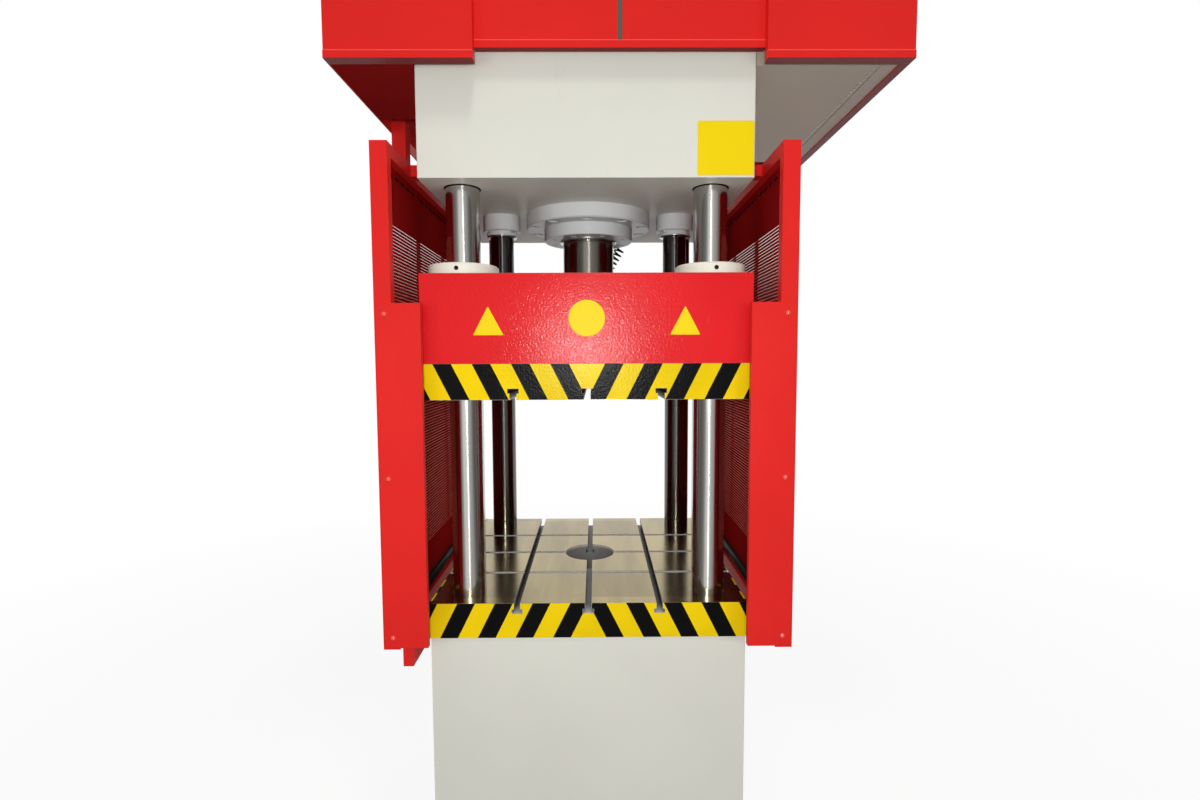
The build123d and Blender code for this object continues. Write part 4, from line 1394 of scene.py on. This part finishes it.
class RivetTree(PartTree):
    """A Geometry Nodes tree that sets domed rivet heads in a row between two points."""

    FINENESS = 3

    def __init__(self) -> None:
        """Build the tree."""
        super().__init__("rivet_row", {"Start": "Vector", "End": "Vector", "Count": "Int", "Radius": "Float",
                                       "Dome": "Vector", "Finish": "Material"})
        ball = self.node("GeometryNodeMeshIcoSphere",
                         inputs={"Radius": self.given["Radius"], "Subdivisions": self.FINENESS})
        domed = self.node("GeometryNodeTransform", inputs={"Geometry": ball, "Scale": self.given["Dome"]})
        smooth = self.node("GeometryNodeSetShadeSmooth", inputs={"Geometry": domed})
        self.row(smooth, "END_POINTS", self.given["End"])


class LipTree(PartTree):
    """A Geometry Nodes tree that bends a thin lip out and up under each slot of a louvred sheet."""

    STEPS = 5
    SEAM = 0.00001

    def __init__(self) -> None:
        """Build the tree."""
        super().__init__("louvre_lips", {"Start": "Vector", "Pitch": "Vector", "Count": "Int", "Length": "Float",
                                         "Bend": "Float", "Lean": "Float", "Rise": "Float", "Way": "Float",
                                         "Thickness": "Float", "Finish": "Material"})
        self.row(self.lip(), "OFFSET", self.given["Pitch"])

    def lip(self) -> Field:
        """Bend one strip into a lip with a thickness.

        Returns:
            The lip, its root at the origin.
        """
        given = self.given
        strip = self.node("GeometryNodeMeshGrid", inputs={"Size X": 1.0, "Size Y": given["Length"],
                                                          "Vertices X": self.STEPS, "Vertices Y": 2})
        place = self.node("GeometryNodeInputPosition")
        across, along = (self.node("ShaderNodeSeparateXYZ", inputs={0: place}, output=axis.value)
                         for axis in (Axis.X, Axis.Y))
        angle = (across + 0.5) * given["Lean"]
        out = angle.sine() * given["Bend"] * given["Way"]
        up = (1.0 - angle.cosine()) * given["Bend"] * given["Rise"]
        bent = self.node("ShaderNodeCombineXYZ", inputs={0: out, 1: along, 2: up})
        moved = self.node("GeometryNodeSetPosition", inputs={"Geometry": strip, "Position": bent})
        thick = self.node("GeometryNodeExtrudeMesh", inputs={
            "Mesh": moved, "Individual": False, "Offset Scale": given["Thickness"] * given["Way"]})
        under = self.node("GeometryNodeFlipFaces", inputs={"Mesh": moved})
        whole = self.node("GeometryNodeJoinGeometry", inputs={"Geometry": [thick, under]})
        return self.node("GeometryNodeMergeByDistance", inputs={"Geometry": whole, "Distance": self.SEAM})


@dataclass
class LouvreLips:
    """The pressed lips on the outer face of the guards' slotted sheets.

    Attributes:
        count: Slots in a sheet.
        slot_height: Height of a slot.
        margin: Distance from a sheet's end to the end of its slots.
        margin_low: Distance from a sheet's foot to the middle of its lowest slot.
        margin_high: Distance from the middle of its highest slot to its top.
        bend: Bend radius of a lip.
        lean: Angle that a lip turns through, in radians.
        rise: How much steeper than round a lip stands.
        thickness: Thickness of a lip.
        root: How far a lip's root reaches into the sheet.
    """

    count: int = 102
    slot_height: float = 0.0044
    margin: float = 0.034
    margin_low: float = 0.110
    margin_high: float = 0.1575
    bend: float = 0.0042
    lean: float = 1.35
    rise: float = 1.75
    thickness: float = 0.0008
    root: float = 0.0006

    def build(self, finishes: Finishes) -> List[bpy.types.Object]:
        """Build the lips of both sheets.

        Args:
            finishes: The press's finishes.

        Returns:
            The lips, left then right.
        """
        tree = LipTree()
        made = []
        for side, way in GUARD_SIDES:
            low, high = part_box(f"guard_panel_{side}")
            outer = low.x if way < 0 else high.x
            first = low.z + self.margin_low
            pitch = (high.z - self.margin_high - first) / (self.count - 1)
            root = first - self.slot_height / 2 - self.thickness
            mesh = tree.mesh({
                "Start": (outer - way * self.root, (low.y + high.y) / 2, root), "Pitch": (0.0, 0.0, pitch),
                "Count": self.count, "Length": high.y - low.y - 2 * self.margin, "Bend": self.bend,
                "Lean": self.lean, "Rise": self.rise, "Way": way, "Thickness": self.thickness,
                "Finish": finishes["highlight_lip_red"]})
            made.append(piece_from(f"louvre_lips_{side}", mesh, finishes["highlight_lip_red"], Body.FRAME))
        return made


@dataclass
class ColumnSeals:
    """Thin rubber rings where the columns enter the crown's underside.

    Attributes:
        places: X and Y of the columns, mirrored.
        inner: Inner radius.
        outer: Outer radius.
        drop: Height of a ring under the crown.
        lift: Its distance from the crown.
        bevel: Share of its width that each lower edge is cut back by.
        inner_wall: Share of its height that its inner wall keeps.
        outer_wall: Share of its height that its outer wall keeps.
        steps: Steps round a ring.
    """

    places: Tuple[float, float] = (0.350, 0.345)
    inner: float = 0.0478
    outer: float = 0.0512
    drop: float = 0.0024
    lift: float = 0.0001
    bevel: float = 0.3
    inner_wall: float = 0.6
    outer_wall: float = 0.5
    steps: int = 64

    def build(self, finishes: Finishes) -> bpy.types.Object:
        """Build the four rings.

        Args:
            finishes: The press's finishes.

        Returns:
            The rings.
        """
        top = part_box("crown")[0].z - self.lift
        cut = (self.outer - self.inner) * self.bevel
        profile = [(self.inner, 0.0), (self.inner, -self.drop * self.inner_wall), (self.inner + cut, -self.drop),
                   (self.outer - cut, -self.drop), (self.outer, -self.drop * self.outer_wall), (self.outer, 0.0)]
        turns = [2 * math.pi * step / self.steps for step in range(self.steps)]
        form = bmesh.new()
        for x, y in ((sx * self.places[0], sy * self.places[1]) for sx in (-1, 1) for sy in (-1, 1)):
            rings = [[form.verts.new((x + radius * math.cos(turn), y + radius * math.sin(turn), top + fall))
                      for radius, fall in profile] for turn in turns]
            skin(form, rings + rings[:1], ends=False)
        bmesh.ops.recalc_face_normals(form, faces=form.faces)
        mesh = mesh_of(form, "column_seals", True)
        return piece_from("column_seals", mesh, finishes["seal_rubber"], Body.FRAME)


@dataclass
class RivetRows:
    """The riveted seam under the oil tank.

    Attributes:
        seam: X of the seam's edge.
        inset: Distance of the rivets from that edge.
        under: Height of the tank's underside.
        front: Y of the first rivet.
        rear: Y of the last.
        count: Rivets in the row.
        radius: Radius of a head.
        dome: Share of that radius along each axis.
    """

    seam: float = 0.772
    inset: float = 0.012
    under: float = 2.293
    front: float = -0.44
    rear: float = 0.30
    count: int = 38
    radius: float = 0.0035
    dome: Point = (1.0, 1.0, 0.5)

    def build(self, finishes: Finishes) -> bpy.types.Object:
        """Build the row of heads.

        Args:
            finishes: The press's finishes.

        Returns:
            The row.
        """
        row = self.seam - self.inset
        mesh = RivetTree().mesh({
            "Start": (row, self.front, self.under), "End": (row, self.rear, self.under), "Count": self.count,
            "Radius": self.radius, "Dome": self.dome, "Finish": finishes["zinc_fastener"]})
        return piece_from("tank_seam_rivets", mesh, finishes["zinc_fastener"], Body.FRAME)


@dataclass
class Extrusion:
    """A folded or moulded section drawn straight along one axis.

    Attributes:
        name: The piece's name.
        section: The section's closed outline, across the axis.
        axis: The axis it runs along.
        start: Where it starts on that axis.
        end: Where it ends.
    """

    name: str
    section: Outline
    axis: Axis
    start: float
    end: float

    def spot(self, corner: Tuple[float, float], run: float) -> Point:
        """Return a place on the section, at a distance along the axis."""
        if self.axis is Axis.Z:
            return (corner[0], corner[1], run)
        return (corner[0], run, corner[1])

    def mesh(self, smooth: bool = False) -> bpy.types.Mesh:
        """Return the closed bar.

        Args:
            smooth: Whether its faces are shaded smooth.

        Returns:
            The mesh, at its place on the press.
        """
        form = bmesh.new()
        near = [form.verts.new(self.spot(corner, self.start)) for corner in self.section]
        far = [form.verts.new(self.spot(corner, self.end)) for corner in self.section]
        skin(form, [near, far])
        bmesh.ops.recalc_face_normals(form, faces=form.faces)
        bmesh.ops.triangulate(form, faces=[face for face in form.faces if len(face.verts) > 4])
        return mesh_of(form, self.name, smooth)


@dataclass
class DoorSeam:
    """The grey channel behind the gap between the canopy's doors.

    Attributes:
        gap: Width of the gap.
        hem_step: How far a door's hem stands proud of its sheet.
        sheet: Thickness of a door.
        flat: Width of the channel's flat on each side of the gap.
        wall: Its thickness.
        depth: Depth of its fold.
        clearance: Its distance from the sheets.
        foot: Height of its foot above the doors' foot.
        drop: Distance of its top under the doors' top.
    """

    gap: float = 0.012
    hem_step: float = 0.003
    sheet: float = 0.003
    flat: float = 0.016
    wall: float = 0.0015
    depth: float = 0.009
    clearance: float = 0.0002
    foot: float = 0.006
    drop: float = 0.004

    def build(self, finishes: Finishes) -> bpy.types.Object:
        """Build the channel.

        Args:
            finishes: The press's finishes.

        Returns:
            The channel.
        """
        low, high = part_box("canopy_door_left")
        middle = high.x - self.gap / 2
        back = low.y + self.hem_step + self.sheet + self.clearance
        reach = self.gap / 2 + self.flat
        left, right, rear, web = middle - reach, middle + reach, back + self.depth, back + self.wall
        section = [(left, back), (right, back), (right, rear), (right - self.wall, rear), (right - self.wall, web),
                   (left + self.wall, web), (left + self.wall, rear), (left, rear)]
        bar = Extrusion("door_seam_channel", section, Axis.Z, low.z + self.foot, high.z - self.drop)
        return piece_from(bar.name, bar.mesh(), finishes["seam_grey"], Body.FRAME)


@dataclass
class SealBeads:
    """The round rubber beads along the strips at the foot of the guards' sheets.

    Attributes:
        bulge: How far a bead stands out of its strip.
        margin: Distance of the bead from the strip's low and high edge.
        lift: The glue line under it.
        steps: Points round the bead.
    """

    bulge: float = 0.011
    margin: float = 0.002
    lift: float = 0.0001
    steps: int = 16

    def build(self, finishes: Finishes) -> List[bpy.types.Object]:
        """Build both beads.

        Args:
            finishes: The press's finishes.

        Returns:
            The beads, left then right.
        """
        made = []
        for side, outward in GUARD_SIDES:
            low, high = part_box(f"guard_seal_{side}")
            way = -outward
            inner = high.x if way > 0 else low.x
            middle = (low.z + high.z) / 2
            half = (high.z - low.z) / 2 - self.margin
            section = []
            for step in range(self.steps + 1):
                angle = math.pi * (step / self.steps - 0.5)
                section.append((inner + way * (self.lift + self.bulge * math.cos(angle)),
                                middle + half * math.sin(angle)))
            bar = Extrusion(f"seal_bead_{side}", section, Axis.Y, low.y + self.margin, high.y - self.margin)
            made.append(piece_from(bar.name, bar.mesh(True), finishes["seal_rubber"], Body.FRAME))
        return made


@dataclass
class DashBackings:
    """The black strips outside the sheets that close the row of short slots from behind, so that the slots show
    black as painted shade.

    Attributes:
        reach: Distance of a strip's foot under the sheet's top.
        drop: Distance of its top under the sheet's top.
        wall: Its thickness.
        fold: Width of the fold along its foot.
        clearance: Its distance from the sheet.
        margin: Its distance from the sheet's ends.
    """

    reach: float = 0.040
    drop: float = 0.002
    wall: float = 0.0015
    fold: float = 0.008
    clearance: float = 0.0003
    margin: float = 0.004

    def build(self, finishes: Finishes) -> List[bpy.types.Object]:
        """Build both strips.

        Args:
            finishes: The press's finishes.

        Returns:
            The strips, left then right.
        """
        made = []
        for side, way in GUARD_SIDES:
            low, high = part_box(f"guard_panel_{side}")
            near = (low.x if way < 0 else high.x) + way * self.clearance
            foot, top = high.z - self.reach, high.z - self.drop
            far, back, web = near + way * self.fold, near + way * self.wall, foot + self.wall
            section = [(near, foot), (far, foot), (far, web), (back, web), (back, top), (near, top)]
            # A black strip stands in for the shade seen through the slots.
            bar = Extrusion(f"dash_shade_backing_{side}", section, Axis.Y, low.y + self.margin, high.y - self.margin)
            made.append(piece_from(bar.name, bar.mesh(), finishes["black_moulding"], Body.FRAME))
        return made


class Dressing:
    """The finish of every CAD node that stays in the picture."""

    BY_SLOT: Dict[str, str] = {
        "guard_red": "guard_red", "slide_red": "slide_grained_red", "beige_paint": "cream_beige",
        "cream_paint": "cap_cream", "grey_paint": "cylinder_grey", "hard_chrome": "column_chrome",
        "ground_steel": "ground_bed", "fastener_steel": "zinc_fastener", "bright_steel": "bright_ring",
        "cast_grey": "cast_iron", "motor_blue": "motor_blue", "black_plastic": "black_moulding",
        "cable": "cable_jacket", "rubber": "seal_rubber",
    }
    BY_NODE: Dict[str, str] = {
        "canopy_door_left": "door_red", "canopy_door_right": "door_red",
        "canopy_front_left": "front_red", "canopy_front_right": "front_red",
        "canopy_left_side": "front_red", "canopy_right_side": "front_red",
        "ram": "ram_chrome", "pullback_rod_left": "rod_chrome", "pullback_rod_right": "rod_chrome",
        "canopy_left_floor": "shade_painted_floor_red", "slide_plate": "ground_platen",
        "guard_panel_left": "shade_painted_panel_red", "guard_panel_right": "shade_painted_panel_red",
        "column_rear_left": "shade_painted_chrome", "column_rear_right": "shade_painted_chrome",
        "oil_tank": "tank_beige", "guard_cover_screws": "highlight_screw_red",
    }

    def __init__(self, finishes: Finishes) -> None:
        """Hold the finishes."""
        self.finishes = finishes

    def apply(self) -> int:
        """Give each CAD node its finish.

        Returns:
            How many nodes were dressed.
        """
        slots = {part["node"]: part["material_slot"] for part in frame["record"]["subparts"]}
        for name, node in frame["nodes"].items():
            finish = self.finishes[self.BY_NODE.get(name, self.BY_SLOT[slots[name]])]
            if not node.material_slots:
                node.data.materials.append(finish)
            for holder in node.material_slots:
                holder.material = finish
        log.info("dressed %d CAD nodes", len(frame["nodes"]))
        return len(frame["nodes"])


@dataclass
class ViewCamera:
    """The camera at the photograph's place, fitted to the press.

    Attributes:
        place: Where it stands.
        focal: Focal length in pixels of a 1200-wide picture.
        width: Width of that picture in pixels.
        sensor: Sensor width in millimetres.
        yaw: Turn towards +X, in radians.
        pitch: Turn downwards, in radians.
        roll: Turn about its own axis, in radians.
        clip: Farthest distance it sees.
    """

    place: Point = (0.02348, -2.07101, 1.53370)
    focal: float = 598.03
    width: float = 1200.0
    sensor: float = 36.0
    yaw: float = 0.00691
    pitch: float = 0.07033
    roll: float = -0.00366
    clip: float = 60.0

    def build(self) -> bpy.types.Object:
        """Set up the camera.

        Returns:
            The camera.
        """
        data = bpy.data.cameras.new("view_camera")
        data.sensor_fit = "HORIZONTAL"
        data.sensor_width = self.sensor
        data.lens = self.focal / self.width * self.sensor
        data.clip_end = self.clip
        level = math.cos(self.pitch)
        ahead = Vector((math.sin(self.yaw) * level, math.cos(self.yaw) * level, -math.sin(self.pitch)))
        right = Vector((math.cos(self.yaw), -math.sin(self.yaw), 0.0))
        up = right.cross(ahead)
        turned = right * math.cos(self.roll) + up * math.sin(self.roll)
        raised = up * math.cos(self.roll) - right * math.sin(self.roll)
        camera = bpy.data.objects.new("view_camera", data)
        turn = Matrix((turned, raised, -ahead)).transposed().to_4x4()
        camera.matrix_world = Matrix.Translation(self.place) @ turn
        bpy.context.scene.collection.objects.link(camera)
        bpy.context.scene.camera = camera
        log.info("camera: %.2f mm lens", data.lens)
        return camera


@dataclass
class Lamp:
    """One soft lamp.

    Attributes:
        name: Its name.
        place: Where it stands.
        target: What it points at.
        width: Width of its face.
        height: Height of its face.
        power: Power in watts.
        glints: Whether gloss and metal show its face.
    """

    name: str
    place: Point
    target: Point
    width: float
    height: float
    power: float
    glints: bool = True

    def build(self) -> bpy.types.Object:
        """Set up the lamp.

        Returns:
            The lamp.
        """
        data = bpy.data.lights.new(self.name, "AREA")
        data.shape = "RECTANGLE"
        data.size, data.size_y = self.width, self.height
        data.energy = self.power
        lamp = bpy.data.objects.new(self.name, data)
        lamp.location = self.place
        aim = Vector(self.target) - Vector(self.place)
        lamp.rotation_euler = aim.to_track_quat("-Z", "Y").to_euler()
        lamp.visible_glossy = self.glints
        bpy.context.scene.collection.objects.link(lamp)
        return lamp


@dataclass
class Studio:
    """A pale floor, a white surround, a screen that only gloss and metal see, and soft lamps.

    Attributes:
        reach: Half the floor's side.
        surround: Strength of the surround's light on the press.
        floor_cells: Squares along a side of the floor.
        floor_unseen: The floor's linear colour in the light that it throws back.
        floor_matt: Its linear colour where it takes the press's shadow.
        floor_white: Share of the floor near the press that shows as plain white.
        floor_near: Distance up to which the floor keeps the press's shadow.
        floor_far: Distance from which the floor is plain white.
        screen_radius: Radius of the screen round the front of the room.
        screen_height: Its height.
        screen_sweep: Half its sweep, in degrees.
        screen_steps: Its facets.
        screen_tone: Its linear colour where it is brightest.
        screen_bands: Tangent of the angle from the middle and the share of the tone there, left to right.
        screen_middle: Distance that keeps that tangent finite at the screen's ends.
        apron: Radius at which the screen's sweep over the floor begins.
        apron_lift: Its height over the floor.
    """

    reach: float = 20.0
    surround: float = 0.24
    floor_cells: int = 4
    floor_unseen: Colour = (0.34, 0.34, 0.335)
    floor_matt: Colour = (0.95, 0.95, 0.95)
    floor_white: float = 0.88
    floor_near: float = 1.6
    floor_far: float = 4.5
    screen_radius: float = 7.0
    screen_height: float = 7.0
    screen_sweep: float = 100.0
    screen_steps: int = 40
    screen_tone: Colour = (0.9, 0.89, 0.86)
    screen_bands: Tuple[Tuple[float, float], ...] = (
        (-3.0, 0.2), (-1.5, 0.14), (-0.8, 0.22), (-0.5, 0.4), (-0.3, 0.95), (0.1, 1.0),
        (0.24, 0.6), (0.7, 0.45), (0.95, 0.22), (1.6, 0.12), (3.0, 0.2))
    screen_middle: float = 0.05
    apron: float = 0.95
    apron_lift: float = 0.012

    def seen(self, bench: Bench) -> Field:
        """Return 1 where the camera, a gloss or a glass looks, and 0 for other light."""
        camera, glossy, glass = (bench.node("ShaderNodeLightPath", output=f"Is {kind} Ray")
                                 for kind in ("Camera", "Glossy", "Transmission"))
        return camera.upper(glossy).upper(glass)

    def world(self) -> None:
        """Set up the surround."""
        world = bpy.data.worlds.new("surround")
        world.use_nodes = True
        bench = Bench(world.node_tree)
        lighting, white = (bench.node("ShaderNodeBackground", inputs={"Color": WHITE, "Strength": strength})
                           for strength in (self.surround, 1.0))
        blend = bench.node("ShaderNodeMixShader", inputs={0: self.seen(bench), 1: lighting, 2: white})
        bench.end("ShaderNodeOutputWorld", "Surface", blend)
        bpy.context.scene.world = world

    def floor(self) -> bpy.types.Object:
        """Lay the floor.

        Returns:
            The floor.
        """
        form = bmesh.new()
        bmesh.ops.create_grid(form, x_segments=self.floor_cells, y_segments=self.floor_cells, size=self.reach)
        plane = bpy.data.objects.new("floor", mesh_of(form, "floor"))
        bpy.context.scene.collection.objects.link(plane)
        material = bpy.data.materials.new("pale_floor")
        material.use_nodes = True
        bench = Bench(material.node_tree)
        unseen, matt = (bench.node("ShaderNodeBsdfDiffuse", inputs={"Color": tone})
                        for tone in (self.floor_unseen, self.floor_matt))
        white = bench.node("ShaderNodeEmission", inputs={"Color": WHITE, "Strength": 1.0})
        place = bench.node("ShaderNodeTexCoord", output="Object")
        distance = bench.node("ShaderNodeVectorMath", {"operation": "LENGTH"}, {0: place}, output="Value")
        share = bench.node("ShaderNodeMapRange", inputs={
            "Value": distance, "From Min": self.floor_near, "From Max": self.floor_far,
            "To Min": self.floor_white, "To Max": 1.0})
        ground = bench.node("ShaderNodeMixShader", inputs={0: share, 1: matt, 2: white})
        blend = bench.node("ShaderNodeMixShader", inputs={0: self.seen(bench), 1: unseen, 2: ground})
        bench.end("ShaderNodeOutputMaterial", "Surface", blend)
        plane.data.materials.append(material)
        return plane

    def room_screen(self) -> bpy.types.Object:
        """Hang a curved screen with soft bands round the front of the room.

        Returns:
            The screen.
        """
        form = bmesh.new()
        rows: List[List[bmesh.types.BMVert]] = []
        for step in range(self.screen_steps + 1):
            turn = math.radians(-self.screen_sweep + 2 * self.screen_sweep * step / self.screen_steps)
            rows.append([form.verts.new((radius * math.sin(turn), -radius * math.cos(turn), height))
                         for radius, height in ((self.apron, self.apron_lift),
                                                (self.screen_radius, self.apron_lift),
                                                (self.screen_radius, self.screen_height))])
        for before, after in zip(rows, rows[1:]):
            for low in range(2):
                form.faces.new((before[low], after[low], after[low + 1], before[low + 1]))
        screen = bpy.data.objects.new("room_screen", mesh_of(form, "room_screen"))
        bpy.context.scene.collection.objects.link(screen)
        bench = FinishBench("room_grey")
        turned = bench.along(Axis.X) / (abs(bench.along(Axis.Y)) + self.screen_middle)
        share: Amount = self.screen_bands[0][1]
        for (start, before), (stop, after) in zip(self.screen_bands, self.screen_bands[1:]):
            share = turned.rise(start, stop) * (after - before) + share
        glow = bench.mix(share, BLACK, self.screen_tone)
        screen.data.materials.append(bench.dress(Base_Color=BLACK, Specular_IOR_Level=0.0,
                                                 Emission_Color=glow, Emission_Strength=1.0))
        screen.visible_camera = False
        screen.visible_diffuse = False
        screen.visible_shadow = False
        return screen

    def build(self) -> None:
        """Set up the studio."""
        bpy.context.scene.view_settings.view_transform = "Standard"
        self.world()
        self.floor()
        self.room_screen()
        for lamp in (
            Lamp("overhead_key", (0.2, -1.9, 5.8), (0.0, -0.45, 1.7), 0.5, 0.5, 50.0, False),
            Lamp("right_softbox", (2.5, -3.3, 1.4), (-0.4, 0.0, 1.3), 1.2, 1.8, 20.0, False),
            Lamp("left_softbox", (-2.5, -3.3, 1.4), (0.4, 0.0, 1.3), 1.2, 1.8, 20.0, False),
            Lamp("front_softbox", (0.2, -4.4, 1.2), (0.0, 0.0, 1.2), 2.6, 1.6, 7.0, False),
            Lamp("front_strip", (0.15, -2.6, 1.3), (0.15, 0.0, 1.3), 0.09, 2.6, 5.0),
            Lamp("camera_flash", (-0.04, -2.25, 1.6), (0.0, 0.0, 1.5), 0.14, 0.12, 13.0),
            Lamp("left_fill", (-3.8, -0.4, 2.4), (0.0, 0.0, 1.5), 1.6, 2.0, 20.0, False),
            Lamp("right_fill", (3.8, -0.4, 2.4), (0.0, 0.0, 1.5), 1.6, 2.0, 20.0, False),
            Lamp("rear_fill", (1.8, 4.0, 3.2), (0.0, 0.0, 1.5), 2.4, 1.8, 44.0, False),
        ):
            lamp.build()
        log.info("studio: floor, surround, screen and lamps")


def main() -> None:
    """Dress the press and set up its picture."""
    logging.basicConfig(level=logging.INFO, format="%(name)s: %(message)s")
    ViewCamera().build()
    finishes = Finishes()
    CurlyCable().build(finishes)
    Dressing(finishes).apply()
    HazardBand("bed_hazard_band", "bed_plate", Body.FRAME, "bed_stripes", "ground_steel",
               Edge.TOP, True, wrap=0.004).build(finishes)
    HazardBand("slide_hazard_band", "slide_plate", Body.SLIDE, "slide_stripes", "slide_red",
               Edge.BOTTOM, False).build(finishes)
    crown_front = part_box("crown")[0].y
    slide_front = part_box("slide_body")[0].y
    stickers = [
        BlankSticker("crown_sticker", Shape.SQUARE, (0.370, crown_front, 2.086), 0.150, 0.140, Body.FRAME,
                     "beige_paint"),
        BlankSticker("slide_disc", Shape.DISC, (0.0, slide_front, 1.640), 0.098, 0.098, Body.SLIDE, "slide_red"),
    ]
    for side, place in (("left", -0.264), ("right", 0.264)):
        stickers.append(BlankSticker(f"slide_triangle_{side}", Shape.TRIANGLE, (place, slide_front, 1.6335),
                                     0.082, 0.077, Body.SLIDE, "slide_red"))
    trims = (RivetRows(), LouvreLips(), ColumnSeals(), DoorSeam(), SealBeads(), DashBackings())
    for assembly in (*stickers, *trims):
        assembly.build(finishes)
    Studio().build()


if __name__ == "__main__":
    main()
